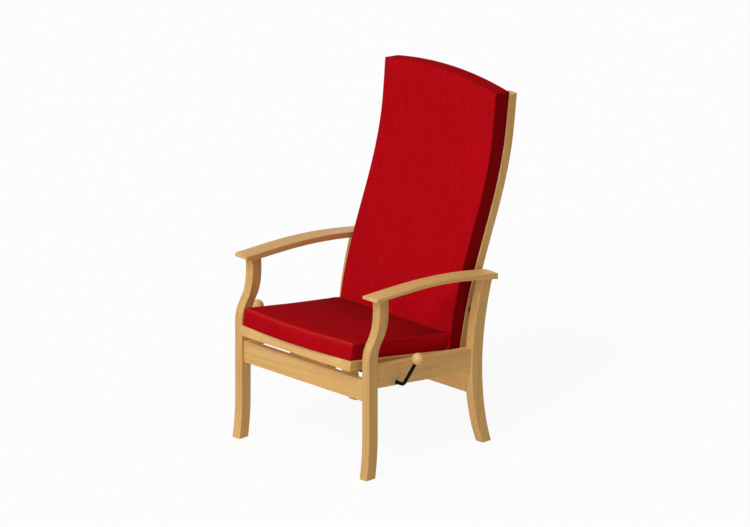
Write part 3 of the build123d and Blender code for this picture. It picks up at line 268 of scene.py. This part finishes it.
# Cloth: the thread pitch, how wide and long its thick places are in metres, and its reds and tints
THREAD_PITCH = 0.00145
WARP_SLUB, WARP_TINTS = (0.0032, 0.075), [(0.3, 0.86), (0.5, 1.0), (0.72, (1.10, 1.5, 1.2))]
WEFT_SLUB, WEFT_TINTS = (0.055, 0.0036), [(0.3, 0.90), (0.5, 1.0), (0.72, (1.07, 1.4, 1.15))]
NAP_SCALE, NAP_TINTS = 2600.0, [(0.3, 0.94), (0.7, 1.07)]
SHADE_SCALE, SHADE_TINTS = 7.0, [(0.3, 0.97), (0.7, 1.03)]
THREAD_REDS = [
    (0.05, (0.245, 0.0012, 0.0032)),
    (0.5, (0.415, 0.0022, 0.0062)),
    (1.0, (0.50, 0.0042, 0.0095)),
]
# Light red of the painted highlight on rounded cushion edges
PAINTED_HIGHLIGHT_RED = (0.60, 0.055, 0.045, 1)


def red_cloth():
    """Plain-woven wool: crossing threads of uneven thickness, a soft pile and slow changes of shade.

    Each mesh has two shares of its own: painted shade, which darkens or lightens the cloth by the way each
    panel faces and in the seam, and a painted highlight, which pales the red on rounded edges.
    """
    surface = Surface(
        "red_cloth",
        {
            "Roughness": 0.92,
            "Specular IOR Level": 0.01,
            "Sheen Weight": 0.045,
            "Sheen Roughness": 0.45,
            "Sheen Tint": (1.0, 0.12, 0.10, 1),
        },
    )
    spot = surface.coordinates(kind="UV")
    split = surface.node("SeparateXYZ", {0: spot}).outputs
    across, upward = (
        surface.maths("SINE", surface.maths("MULTIPLY", split[axis], math.pi / THREAD_PITCH)) for axis in "XY"
    )

    def thread(width, run, sign):
        """Height of one set of threads, which dive under every other crossing."""
        wave = surface.maths("MULTIPLY", surface.maths("SIGN", width), run)
        wave = surface.maths("MULTIPLY_ADD", wave, 0.5 * sign, 0.5)
        return surface.maths("MULTIPLY", surface.maths("ABSOLUTE", width), wave)

    threads = surface.maths("MAXIMUM", thread(across, upward, 1), thread(upward, across, -1))
    warp, weft = (
        surface.noise(surface.stretched(spot, (1 / wide, 1 / tall, 1)), detail=3.0)
        for wide, tall in (WARP_SLUB, WEFT_SLUB)
    )
    # The nap: fine fuzz in the cloth's own colour
    nap_and_painted_shade = surface.noise(surface.coordinates(), NAP_SCALE, 3.0)
    shade = surface.noise(surface.coordinates(), SHADE_SCALE)

    colour = surface.tinted(
        surface.ramp(threads, THREAD_REDS),
        (warp, WARP_TINTS),
        (weft, WEFT_TINTS),
        (nap_and_painted_shade, NAP_TINTS),
        (shade, SHADE_TINTS),
    )
    # Painted shade from the mesh: lighter or darker by the way each panel faces, and darker in the seam
    colour = surface.mix(1.0, colour, surface.attribute("nap_and_painted_shade"), "MULTIPLY")
    # Painted highlight from the mesh: the red paled on rounded edges
    colour = surface.mix(surface.attribute("edge"), colour, PAINTED_HIGHLIGHT_RED)
    relief = surface.weighted_sum((threads, 1.0), (nap_and_painted_shade, 0.5), (warp, 0.8))
    return surface.finish(Base_Color=colour, Normal=surface.bump(relief, 0.4, 0.0004))


def coated_steel():
    """Black powder coat with a fine orange-peel skin."""
    surface = Surface("black_steel", {"Specular IOR Level": 0.03, "Coat Weight": 0.02, "Coat Roughness": 0.1})
    place = surface.coordinates()
    peel = surface.noise(place, 1500.0)
    # Wear: patches of the coat's own tone and roughness
    wear_and_painted_highlight = surface.noise(place, 120.0, 4.0)
    return surface.finish(
        Base_Color=surface.ramp(wear_and_painted_highlight, [(0.35, (0.002, 0.002, 0.0025)), (0.72, (0.008, 0.008, 0.0085))]),
        Roughness=surface.remap(wear_and_painted_highlight, 0.24, 0.4),
        Normal=surface.bump(peel, 0.12, 0.0003),
    )


def bright_metal(name, dull, pale, roughness, brushing):
    """Bare or plated metal with tone and roughness that wander, and fine turning marks."""
    surface = Surface(name, {"Metallic": 1.0})
    place = surface.coordinates()
    marks = surface.noise(surface.stretched(place, brushing), detail=3.0)
    cloud = surface.noise(place, 260.0, 4.0)
    return surface.finish(
        Base_Color=surface.ramp(cloud, [(0.3, dull), (0.7, pale)]),
        Roughness=surface.remap(marks, *roughness),
        Normal=surface.bump(marks, 0.1, 0.0002),
    )


def moulded_nylon():
    """Dark moulded nylon with a faint spark-eroded grain."""
    surface = Surface("nylon", {"Specular IOR Level": 0.4})
    place = surface.coordinates()
    grain = surface.noise(place, 1900.0, 3.0)
    tone = surface.noise(place, 90.0)
    return surface.finish(
        Base_Color=surface.ramp(tone, [(0.3, (0.022, 0.022, 0.023)), (0.7, (0.04, 0.04, 0.042))]),
        Roughness=surface.remap(grain, 0.45, 0.62),
        Normal=surface.bump(grain, 0.25, 0.0003),
    )


# The way the grain runs, by piece without its side. It is X in the others.
GRAIN = {
    "arm": "Y",
    "arm_dowels": "Z",
    "front_leg": "Z",
    "rear_leg": "Z",
    "side_rail": "Y",
    "back_upright": "Z",
    "seat_side": "Y",
    "seat_runners": "Y",
    "lever_knob": "Z",
}
PLY_LAYERS = {"back_board": "Y", "seat_board": "Z"}
TONE_AND_PAINTED_LIGHT = {
    "arm_left": 1.07,
    "arm_right": 1.03,
    "front_leg_left": 0.91,
    "front_leg_right": 0.97,
    "rear_leg_left": 0.97,
    "side_rail_left": 1.06,
    "front_rail": 1.03,
    # These two are lightened: painted light where the seat shades them
    "rear_rail": 1.08,
    "front_block": 1.3,
    "seat_front_member": 1.03,
    "lever_knob_left": 1.07,
    "lever_knob_right": 1.03,
}
TONE_SPREAD = 0.03
shared_surfaces = {
    "black_steel": coated_steel(),
    "zinc_steel": bright_metal(
        "zinc_steel",
        dull=(0.46, 0.46, 0.45),
        pale=(0.62, 0.62, 0.60),
        roughness=(0.28, 0.46),
        brushing=(900, 900, 900),
    ),
    "polished_rod": bright_metal(
        "polished_rod",
        dull=(0.66, 0.66, 0.68),
        pale=(0.78, 0.78, 0.79),
        roughness=(0.06, 0.16),
        brushing=(3000, 60, 3000),
    ),
    "nylon": moulded_nylon(),
    "red_cloth": red_cloth(),
}


def dress(piece, material):
    piece.data.materials.clear()
    piece.data.materials.append(material)


for number, row in enumerate(frame["record"]["subparts"]):
    node, slot = row["node"], row["material_slot"]
    if slot in shared_surfaces:
        material = shared_surfaces[slot]
    elif slot == "plywood":
        material = plywood(node + "_plywood", PLY_LAYERS[node])
    else:
        finish = LACQUERED if slot == "beech" else BARE
        polish = KNOB_POLISH if node.startswith("lever_knob") else WOOD_POLISH
        grain = GRAIN.get(node.removesuffix("_left").removesuffix("_right"), "X")
        tone = TONE_AND_PAINTED_LIGHT.get(node, 1 + TONE_SPREAD * math.sin(2.4 * number))
        material = wood(node + "_wood", grain, number, finish, polish, tone)
    dress(nodes[node], material)


# Curves that the cushions follow
BACK_FOOT = (0.483, 0.279)
BACK_REACH = (0.239, 0.881)
BACK_CURVE_SHARES = ((0, 0), (0.124, 0.17), (0.358, 0.37), (0.713, 0.62), (0.905, 0.81), (1, 1), (1.05, 1.09))
BACK_CURVE_SAMPLES = 600

SEAT_SLOPE = math.radians(9.3)
SEAT_FRONT = (-0.0243, 0.3796)
SEAT_MEMBER_HEIGHT = 0.0335
SEAT_THICKNESS = 0.0605
SEAT_FLARE = 0.022


def runs_along(points):
    """Distance along a line of points, at each of them."""
    return np.concatenate([[0], np.cumsum(np.linalg.norm(np.diff(points, axis=0), axis=1))])


def smooth_line(points, count):
    """Cubic spline through the points by chord length, as evenly stepped samples."""
    points = np.array(points, float)
    reach = runs_along(points)
    last = len(points) - 1
    steps = np.diff(reach)
    system, known = np.zeros((last + 1, last + 1)), np.zeros((last + 1, 2))
    for i in range(1, last):
        system[i, i - 1 : i + 2] = 1 / steps[i - 1], 2 / steps[i - 1] + 2 / steps[i], 1 / steps[i]
        known[i] = 3 * (
            (points[i] - points[i - 1]) / steps[i - 1] ** 2 + (points[i + 1] - points[i]) / steps[i] ** 2
        )
    for end, four in ((0, slice(0, 4)), (last, slice(last - 3, last + 1))):
        system[end, end] = 1
        known[end] = [np.polyfit(reach[four] - reach[end], points[four, k], 3)[2] for k in (0, 1)]
    slopes = np.linalg.solve(system, known)
    at = np.linspace(0, reach[-1], count)
    i = np.clip(np.searchsorted(reach, at) - 1, 0, last - 1)
    h = steps[i][:, None]
    t = (at - reach[i])[:, None] / h
    return (
        (2 * t**3 - 3 * t**2 + 1) * points[i]
        + (t**3 - 2 * t**2 + t) * h * slopes[i]
        + (3 * t**2 - 2 * t**3) * points[i + 1]
        + (t**3 - t**2) * h * slopes[i + 1]
    )


back_curve = [
    (BACK_FOOT[0] + BACK_REACH[0] * back, BACK_FOOT[1] + BACK_REACH[1] * up) for back, up in BACK_CURVE_SHARES
]
back_line = smooth_line(back_curve, BACK_CURVE_SAMPLES)
back_runs = runs_along(back_line)
back_slopes = np.gradient(back_line, back_runs, axis=0)


def back_run_at(height):
    return float(np.interp(height, back_line[:, 1], back_runs))


def on_back(x, run, depth):
    """Point on the back: across, up along its curve, and out of its front face."""
    y, z = (np.interp(run, back_runs, back_line[:, k]) for k in (0, 1))
    dy, dz = (np.interp(run, back_runs, back_slopes[:, k]) for k in (0, 1))
    size = np.hypot(dy, dz)
    return np.array([x, ORIGIN_Y + y - depth * dz / size, z + depth * dy / size])


def on_seat(x, run, depth):
    """Point on the seat: across, down its slope to the rear, and up from its members, where it flares."""
    lift = SEAT_MEMBER_HEIGHT + depth
    return np.array(
        [
            x * (1 + SEAT_FLARE * depth / SEAT_THICKNESS),
            ORIGIN_Y + SEAT_FRONT[0] + run * math.cos(SEAT_SLOPE) + lift * math.sin(SEAT_SLOPE),
            SEAT_FRONT[1] - run * math.sin(SEAT_SLOPE) + lift * math.cos(SEAT_SLOPE),
        ]
    )


def sagitta(half_span, rise, x):
    """How far an arc that rises over a half span has fallen at x from its middle."""
    radius = (half_span**2 + rise**2) / (2 * rise)
    return radius - math.sqrt(radius**2 - x**2)


# Cloth pieces
SEAM_ANGLE, SEAM_SPREAD = 45, 8  # degrees round an edge
REAR_EDGE_ANGLES = (0, 45, 90)
SUBDIVISIONS = 2
CLOTH_FRAMES = 20
CLOTH_SETTINGS = {
    "quality": 6,
    "mass": 0.25,
    "tension_stiffness": 18,
    "compression_stiffness": 18,
    "shear_stiffness": 8,
    "bending_stiffness": 1.5,
    "air_damping": 2,
    "use_pressure": True,
    "uniform_pressure_force": 2.5,
}


def grid_lines(length, cell, close):
    """Places from 0 to 1: some close to each end, then even cells."""
    inner = length - 2 * close[-1]
    count = max(2, round(inner / cell))
    middle = [close[-1] + inner * k / count for k in range(1, count)]
    return np.array([0, *close, *middle, *[length - c for c in reversed(close)], length]) / length


def grid_border(last_i, last_j):
    """Spots round the edge of a grid: along its low side, up, back along its high side and down."""
    return (
        [(i, 0) for i in range(last_i)]
        + [(last_i, j) for j in range(last_j)]
        + [(i, last_j) for i in range(last_i, 0, -1)]
        + [(0, j) for j in range(last_j, 0, -1)]
    )


def edge_profile(radius, groove, angles):
    """(inset, drop) round an edge, with a seam sunk into its middle."""
    rows = []
    for angle in angles:
        reach = radius - groove * math.exp(-(((angle - SEAM_ANGLE) / SEAM_SPREAD) ** 2))
        turn = math.radians(angle)
        rows.append((radius - reach * math.sin(turn), radius - reach * math.cos(turn)))
    return rows


def vertex_values(mesh, key):
    """A vector of each vertex, such as its co or normal."""
    values = np.zeros(len(mesh.vertices) * 3)
    mesh.vertices.foreach_get(key, values)
    return values.reshape(-1, 3)


def set_shares(mesh, name, shares):
    mesh.attributes.new(name, "FLOAT", "POINT").data.foreach_set("value", shares)


def cloth_piece(name, points, faces, patterns):
    """Smooth piece of red cloth. The patterns give the place on the cloth of each face's corners."""
    mesh = bpy.data.meshes.new(name)
    mesh.from_pydata([tuple(point) for point in points], [], faces)
    weave = mesh.uv_layers.new(name="weave")
    weave.data.foreach_set("uv", [number for pattern in patterns for spot in pattern for number in spot])
    mesh.polygons.foreach_set("use_smooth", [True] * len(mesh.polygons))
    mesh.update()
    piece = bpy.data.objects.new(name, mesh)
    scene.collection.objects.link(piece)
    dress(piece, shared_surfaces["red_cloth"])
    return piece


def ring_levels(thickness, front_edge, rear_edge, side_steps, rear_depth):
    """(inset, depth at a spot) of the rings below a cushion's face: its edge, boxing and rear edge."""
    front_drop, rear_drop = front_edge[-1][1], rear_edge[-1][1]
    low = rear_depth + rear_drop

    def below_face(drop):
        return lambda x, run: thickness(x, run) - drop

    def up_boxing(share):
        return lambda x, run: low + (thickness(x, run) - front_drop - rear_drop - rear_depth) * share

    def above_rear(drop):
        return lambda x, run: rear_depth + drop

    return (
        [(inset, below_face(drop)) for inset, drop in front_edge[1:]]
        + [(0.0, up_boxing(1 - step)) for step in side_steps]
        + [(inset, above_rear(drop)) for inset, drop in reversed(rear_edge)]
    )


def panel_corners(last_i, last_j, flip):
    """The four spots of each cell of a grid, the other way round for a panel that faces the other way."""
    for i in range(last_i):
        for j in range(last_j):
            corners = [(i, j), (i + 1, j), (i + 1, j + 1), (i, j + 1)]
            yield corners[::-1] if flip else corners


def boxed_cushion(name, outline, place, thickness, front_edge, rear_edge, lines, side_steps, rear_depth):
    """Closed cushion: a grid over its face, rings round its edges and its boxing, and a flat rear.

    outline(a, b, inset) gives (x, run) on the face, thickness(x, run) its height there, and
    place(x, run, depth) the point. Returns the piece, the vertices of each ring from front to rear, and
    those of the rear.
    """
    a_lines, b_lines = lines
    last_a, last_b = len(a_lines) - 1, len(b_lines) - 1
    spots = [(i, j) for i in range(last_a + 1) for j in range(last_b + 1)]
    border = grid_border(last_a, last_b)
    outward = [(0, -1)] * last_a + [(1, 0)] * last_b + [(0, 1)] * last_a + [(-1, 0)] * last_b
    front_inset = front_edge[0][0]
    levels = ring_levels(thickness, front_edge, rear_edge, side_steps, rear_depth)
    points = []

    def add(spot, inset, depth_at):
        x, run = outline(a_lines[spot[0]], b_lines[spot[1]], inset)
        points.append(place(x, run, depth_at(x, run)))
        return len(points) - 1

    front = {spot: add(spot, front_inset, thickness) for spot in spots}
    rings = [[front[spot] for spot in border]]
    rings += [[add(spot, inset, depth_at) for spot in border] for inset, depth_at in levels]
    rear = dict(zip(border, rings[-1]))
    for spot in spots:
        if spot not in rear:
            rear[spot] = add(spot, *levels[-1])

    cloth = {(i, j): outline(a_lines[i], b_lines[j], front_inset) for i, j in spots}
    faces, patterns = [], []
    for numbers, flip in ((front, False), (rear, True)):
        for corners in panel_corners(last_a, last_b, flip):
            faces.append([numbers[corner] for corner in corners])
            patterns.append([cloth[corner] for corner in corners])
    near = 0.0
    for inner, outer in zip(rings, rings[1:]):
        gaps = [np.linalg.norm(points[b] - points[a]) for a, b in zip(inner, outer)]
        far = near + float(np.mean(gaps))
        for k, (dx, dr) in enumerate(outward):
            following = (k + 1) % len(border)
            faces.append([inner[k], outer[k], outer[following], inner[following]])
            (x0, r0), (x1, r1) = cloth[border[k]], cloth[border[following]]
            reaches = ((x0, r0, near), (x0, r0, far), (x1, r1, far), (x1, r1, near))
            patterns.append([(x + dx * reach, run + dr * reach) for x, run, reach in reaches])
        near = far
    return cloth_piece(name, points, faces, patterns), rings, list(rear.values())


def plump(cushion, pinned, cap):
    """Lets the cloth swell under pressure, keeps the pinned points, and caps how far any point moves."""
    mesh = cushion.data
    rest = vertex_values(mesh, "co")
    group = cushion.vertex_groups.new(name="pinned")
    group.add(sorted(set(pinned)), 1.0, "REPLACE")
    cloth = cushion.modifiers.new("cloth", "CLOTH")
    for key, value in CLOTH_SETTINGS.items():
        setattr(cloth.settings, key, value)
    cloth.settings.vertex_group_mass = group.name
    cloth.settings.effector_weights.gravity = 0
    cloth.collision_settings.use_collision = False
    for step in range(1, CLOTH_FRAMES + 1):
        scene.frame_set(step)
    swollen = cushion.evaluated_get(bpy.context.evaluated_depsgraph_get()).to_mesh()
    shift = vertex_values(swollen, "co") - rest
    cushion.modifiers.remove(cloth)
    scene.frame_set(1)
    length = np.linalg.norm(shift, axis=1, keepdims=True)
    shift *= cap * np.tanh(length / cap) / np.maximum(length, 1e-9)
    mesh.vertices.foreach_set("co", (rest + shift).ravel())
    mesh.update()


def paint_shade_and_highlight(cushion, front, front_shade, top_shade, side_shade, painted_highlights, seam=()):
    """Paints shade into the cloth by the way each panel faces and into its seam, and paints a highlight on
    given vertices.

    front is the way the front panel faces. The painted highlights and the seam's painted shade are (vertices,
    share) rows, and of two highlight rows for one vertex the later one counts.
    """
    normals = vertex_values(cushion.data, "normal")
    facing = np.clip(normals @ np.array(front), 0, 1) ** 2
    level = np.clip(normals[:, 2], 0, 1) ** 2 * (1 - facing)
    shade = side_shade + (front_shade - side_shade) * facing + (top_shade - side_shade) * level
    # Painted shade in the seam's groove
    for vertices, share in seam:
        shade[vertices] *= share
    # Painted highlight: how far each vertex's red is paled
    wear_and_painted_highlight = np.zeros(len(normals))
    for vertices, share in painted_highlights:
        wear_and_painted_highlight[vertices] = share
    set_shares(cushion.data, "nap_and_painted_shade", shade)
    set_shares(cushion.data, "edge", wear_and_painted_highlight)


def subdivide(piece):
    modifier = piece.modifiers.new("subdivision", "SUBSURF")
    modifier.levels = modifier.render_levels = SUBDIVISIONS


def crown_share(x, half, run, low, high):
    """1 in the middle of a face, 0 on its edges, flat in between."""
    a, b = min(1.0, abs(x) / half), min(1.0, abs(2 * (run - low) / (high - low) - 1))
    return (1 - a**4) * (1 - b**6)


# Back cushion
BACK_HALF_WIDTH = 0.2595
BACK_BOTTOM = 0.330
BACK_SIDE_HEIGHT = 1.1665
BACK_ARCH = 0.031
BACK_DRAW = 0.0025
BACK_GAP = 0.0005
BACK_THICKNESS = 0.060
BACK_THICKNESS_SHARES = (0.88, 0.97, 1.0, 1.0, 1.0, 1.02, 1.04, 1.08, 1.14)
BACK_CROWN = 0.0025
BACK_SWELL = 0.0045
BACK_EDGE_RADIUS = 0.0036
BACK_REAR_RADIUS = 0.003
SEAM_DEPTH = 0.0012
SEAM_ANGLES = (0, 18, 32, 39, 45, 51, 58, 72, 90)
# Painted shade in the seam: the rings beside its middle, and its middle darkest
SEAM_PAINTED_SHADES = (0.8, 0.42, 0.8)
BACK_SIDE_STEPS = (0.2, 0.4, 0.6, 0.8)
# Painted highlight on the first rings round the back's front edge
BACK_PAINTED_HIGHLIGHT = (0.0, 0.03, 0.05)
BACK_CELL, BACK_CLOSE_LINES = 0.0205, (0.002, 0.007, 0.017)

run_low, run_side = back_run_at(BACK_BOTTOM), back_run_at(BACK_SIDE_HEIGHT)
thickness_heights = np.linspace(BACK_BOTTOM, BACK_SIDE_HEIGHT + 2 * BACK_ARCH, len(BACK_THICKNESS_SHARES))


def back_outline(a, b, inset):
    middle = run_low + (run_side - run_low) * b
    drawn = BACK_DRAW * math.sin(math.pi * (middle - run_low) / (run_side - run_low))
    x = (2 * a - 1) * (BACK_HALF_WIDTH - drawn - inset)
    run_high = run_side + BACK_ARCH - sagitta(BACK_HALF_WIDTH + BACK_ARCH, BACK_ARCH, x)
    return x, run_low + inset + (run_high - run_low - 2 * inset) * b


def back_thickness(x, run):
    height = np.interp(run, back_runs, back_line[:, 1])
    body = BACK_THICKNESS * np.interp(height, thickness_heights, BACK_THICKNESS_SHARES)
    return body + BACK_CROWN * crown_share(x, BACK_HALF_WIDTH, run, run_low, run_side + BACK_ARCH)


back_cushion, back_rings, back_rear = boxed_cushion(
    "cushion_back",
    outline=back_outline,
    place=on_back,
    thickness=back_thickness,
    front_edge=edge_profile(BACK_EDGE_RADIUS, SEAM_DEPTH, SEAM_ANGLES),
    rear_edge=edge_profile(BACK_REAR_RADIUS, 0.0, REAR_EDGE_ANGLES),
    lines=(
        grid_lines(2 * BACK_HALF_WIDTH, BACK_CELL, BACK_CLOSE_LINES),
        grid_lines(run_side - run_low, BACK_CELL, BACK_CLOSE_LINES),
    ),
    side_steps=BACK_SIDE_STEPS,
    rear_depth=BACK_GAP,
)
held_rings = back_rings[: len(SEAM_ANGLES) + 1] + back_rings[-2:]
plump(back_cushion, sum(held_rings, back_rear), BACK_SWELL)
seam_rings = back_rings[SEAM_ANGLES.index(SEAM_ANGLE) - 1 :]
# Painted shade: the back's front panel lighter, its top a little darker and its sides much darker, as light
# falls from the front; a faint painted highlight round its front edge, and painted shade in its seam
paint_shade_and_highlight(
    back_cushion,
    front=(0, -1, 0),
    front_shade=1.11,
    top_shade=0.97,
    side_shade=0.57,
    painted_highlights=zip(back_rings, BACK_PAINTED_HIGHLIGHT),
    seam=zip(seam_rings, SEAM_PAINTED_SHADES),
)
subdivide(back_cushion)
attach(back_cushion, "back")
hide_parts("back_cushion")


# Cloth stretched over the rear of the back's board, between its rails
BOARD_HALF_WIDTH = 0.2185
COVER_LIFT = 0.0002
COVER_THICKNESS = 0.0006
COVER_PUFF = 0.0012
COVER_SIDE_RIM, COVER_END_RIM = 0.08, 0.02  # shares of the half width and the length that puff less
COVER_COLUMNS, COVER_CELL = 29, 0.016
COVER_NAP = 0.9
COVER_GAP = 0.001


def rear_cover(name, low, high):
    """Thin cloth on the rear face of the back, between two heights."""
    first, last = back_run_at(low), back_run_at(high)
    a_lines = np.linspace(-1, 1, COVER_COLUMNS)
    b_lines = np.linspace(0, 1, max(3, round((last - first) / COVER_CELL)) + 1)
    wide, tall = len(a_lines), len(b_lines)
    points, spots, faces = [], [], []
    for depth, puff in ((-COVER_LIFT - COVER_THICKNESS, -COVER_PUFF), (-COVER_LIFT, 0.0)):
        for b in b_lines:
            for a in a_lines:
                x, run = a * BOARD_HALF_WIDTH, first + (last - first) * b
                rim = min(1.0, (1 - abs(a)) / COVER_SIDE_RIM) * min(1.0, min(b, 1 - b) / COVER_END_RIM)
                points.append(on_back(x, run, depth + puff * rim * (1 - a * a)))
                spots.append((x, run))
    for layer in (0, 1):
        for j in range(tall - 1):
            for i in range(wide - 1):
                corner = (layer * tall + j) * wide + i
                corners = [corner, corner + 1, corner + wide + 1, corner + wide]
                faces.append(corners[::-1] if layer == 0 else corners)
    rim_points = [j * wide + i for i, j in grid_border(wide - 1, tall - 1)]
    for near, far in zip(rim_points, rim_points[1:] + rim_points[:1]):
        faces.append([near, far, far + wide * tall, near + wide * tall])
    cover = cloth_piece(name, points, faces, [[spots[v] for v in face] for face in faces])
    set_shares(cover.data, "nap_and_painted_shade", [COVER_NAP] * len(points))
    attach(cover, "back")


board_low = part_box("back_board")[0].z
middle_low, middle_high = (corner.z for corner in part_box("back_middle_rail"))
top_rail_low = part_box("back_top_rail")[0].z
rear_cover("cover_rear_lower", board_low + 2 * COVER_GAP, middle_low - COVER_GAP)
rear_cover("cover_rear_upper", middle_high + COVER_GAP, top_rail_low - COVER_GAP)


# Seat cushion
SEAT_HALF_WIDTH = 0.252
SEAT_CORNER_RUN = 0.0056
SEAT_BOW = 0.026
SEAT_DRAW = 0.002
SEAT_CROWN = 0.0055
SEAT_SWELL = 0.004
SEAT_EDGE_RADIUS = 0.0065
SEAT_REAR_RADIUS = 0.004
SEAT_EDGE_ANGLES = (0, 15, 30, 45, 60, 75, 90)
SEAT_SIDE_STEPS = (0.25, 0.5, 0.75)
SEAT_HELD_RUN = 0.012  # the cloth this close to the seat's rear end doesn't swell
SEAT_CELL, SEAT_CLOSE_LINES = 0.016, (0.002, 0.008, 0.018)
# Painted highlight: round the seat's top edge, stronger along its front, and down its two front corners
SEAT_PAINTED_HIGHLIGHT = (0.0, 0.04, 0.08, 0.1, 0.06)
SEAT_FRONT_PAINTED_HIGHLIGHT = (0.05, 0.14, 0.24, 0.3, 0.27, 0.18, 0.08)
SEAT_CORNER_PAINTED_HIGHLIGHT, SEAT_CORNER_FIRST_RING = 0.14, 2

seat_origin = on_seat(0, 0, 0)
seat_down = np.array([0, math.cos(SEAT_SLOPE), -math.sin(SEAT_SLOPE)])
seat_up = np.array([0, math.sin(SEAT_SLOPE), math.cos(SEAT_SLOPE)])
seat_solid = vertex_values(nodes["seat_cushion"].data, "co")
seat_rear_run = float(((seat_solid - seat_origin) @ seat_down).max())


def seat_outline(a, b, inset):
    middle = math.sin(math.pi * b)
    x = (2 * a - 1) * (SEAT_HALF_WIDTH - SEAT_DRAW * middle - inset)
    front = SEAT_CORNER_RUN - SEAT_BOW + sagitta(SEAT_HALF_WIDTH, SEAT_BOW, x) + inset
    return x, front + (seat_rear_run - inset - front) * b


def seat_thickness(x, run):
    crown = crown_share(x, SEAT_HALF_WIDTH, run, SEAT_CORNER_RUN - SEAT_BOW, seat_rear_run)
    return SEAT_THICKNESS + SEAT_CROWN * crown


seat_columns = grid_lines(2 * SEAT_HALF_WIDTH, SEAT_CELL, SEAT_CLOSE_LINES)
seat_cushion, seat_rings, seat_rear = boxed_cushion(
    "cushion_seat",
    outline=seat_outline,
    place=on_seat,
    thickness=seat_thickness,
    front_edge=edge_profile(SEAT_EDGE_RADIUS, 0.0, SEAT_EDGE_ANGLES),
    rear_edge=edge_profile(SEAT_REAR_RADIUS, 0.0, REAR_EDGE_ANGLES),
    lines=(seat_columns, grid_lines(seat_rear_run, SEAT_CELL, SEAT_CLOSE_LINES)),
    side_steps=SEAT_SIDE_STEPS,
    rear_depth=0.0,
)
seat_runs = (vertex_values(seat_cushion.data, "co") - seat_origin) @ seat_down
rear_end = np.flatnonzero(seat_runs > seat_rear_run - SEAT_HELD_RUN).tolist()
plump(seat_cushion, sum(seat_rings[-3:], seat_rear + rear_end), SEAT_SWELL)

# Painted highlight along the seat's front top edge and down its two front corners
front_spots = len(seat_columns)
corner_rings = seat_rings[SEAT_CORNER_FIRST_RING : len(SEAT_EDGE_ANGLES) + len(SEAT_SIDE_STEPS)]
seat_painted_highlights = list(zip(seat_rings, SEAT_PAINTED_HIGHLIGHT))
seat_painted_highlights += [(ring[:front_spots], share) for ring, share in zip(seat_rings, SEAT_FRONT_PAINTED_HIGHLIGHT)]
for front_corner in (0, front_spots - 1):
    seat_painted_highlights.append(([ring[front_corner] for ring in corner_rings], SEAT_CORNER_PAINTED_HIGHLIGHT))
# Painted shade: the seat's front lighter towards its top edge and darker towards the bottom, its top darker
# towards the rear where the back and arms shade it, and its sides lightened where the arms and rails shade
# them
seat_spots = vertex_values(seat_cushion.data, "co") - seat_origin
paint_shade_and_highlight(
    seat_cushion,
    front=-seat_down,
    front_shade=np.interp(seat_spots @ seat_up, (0.0, SEAT_THICKNESS), (0.94, 1.18)),
    top_shade=np.interp(seat_spots @ seat_down, (0.0, 0.19, 0.30, 0.42), (0.97, 0.88, 0.70, 0.55)),
    side_shade=1.06,
    painted_highlights=seat_painted_highlights,
)
subdivide(seat_cushion)
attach(seat_cushion, "seat")
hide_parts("seat_cushion")


# Studio: pale floor, an even sky and two wide soft suns from one side. The photograph is lit evenly, with
# hardly a shadow, so the second sun casts none.
AMBIENT = (0.250, 0.224, 0.200)
SUNS = ((1.35, True), (1.10, False))  # strength, and whether it casts shadows
SUN_FROM = Vector((0.13, -0.60, 0.58))
SUN_COLOUR = (0.98, 1.01, 1.07)
SUN_WIDTH = 0.6
WHITE = (1, 1, 1, 1)
FLOOR_COLOUR = (0.76, 0.72, 0.66, 1)
FLOOR_HALF = 9.0
FLOOR_DROP = 0.0002
FLOOR_SHADING = 0.1  # how much of the white floor that the camera sees takes light and shadow

for strength, casts_shadow in SUNS:
    sun = bpy.data.objects.new("sun", bpy.data.lights.new("sun", "SUN"))
    sun.data.energy = strength
    sun.data.color = SUN_COLOUR
    sun.data.angle = SUN_WIDTH
    sun.data.use_shadow = casts_shadow
    sun.rotation_euler = SUN_FROM.to_track_quat("Z", "Y").to_euler()
    scene.collection.objects.link(sun)


def seen_directly(tree):
    """1 for camera, mirror and glass rays, which see a plain white background."""
    path = tree.nodes.new("ShaderNodeLightPath").outputs
    total = path["Is Camera Ray"]
    for ray in ("Is Glossy Ray", "Is Transmission Ray"):
        joined = tree.nodes.new("ShaderNodeMath")
        joined.operation = "MAXIMUM"
        tree.links.new(total, joined.inputs[0])
        tree.links.new(path[ray], joined.inputs[1])
        total = joined.outputs[0]
    return total


world = bpy.data.worlds.new("sky")
scene.world = world
world.use_nodes = True
sky = world.node_tree
shown = sky.nodes.new("ShaderNodeMixRGB")
shown.inputs["Color1"].default_value = (*AMBIENT, 1)
shown.inputs["Color2"].default_value = WHITE
sky.links.new(seen_directly(sky), shown.inputs["Fac"])
sky.links.new(shown.outputs[0], sky.nodes["Background"].inputs["Color"])

floor_mesh = bpy.data.meshes.new("floor")
floor_corners = [(x * FLOOR_HALF, y * FLOOR_HALF, 0) for x, y in ((-1, -1), (1, -1), (1, 1), (-1, 1))]
floor_mesh.from_pydata(floor_corners, [], [(0, 1, 2, 3)])
floor = bpy.data.objects.new("floor", floor_mesh)
floor.location.z = -FLOOR_DROP
scene.collection.objects.link(floor)
paper = Surface("paper", {"Base Color": FLOOR_COLOUR, "Roughness": 0.9, "Specular IOR Level": 0.0})
white = paper.node("Emission", {"Color": WHITE, "Strength": 1.0}).outputs[0]
diffuse = paper.node("BsdfDiffuse", {"Color": WHITE}).outputs[0]
backdrop = paper.node("MixShader", {0: FLOOR_SHADING, 1: white, 2: diffuse}).outputs[0]
lit = paper.shader.outputs[0]
both = paper.node("MixShader", {0: seen_directly(paper.tree), 1: lit, 2: backdrop}).outputs[0]
paper.feed(paper.tree.nodes["Material Output"].inputs["Surface"], both)
dress(floor, paper.material)
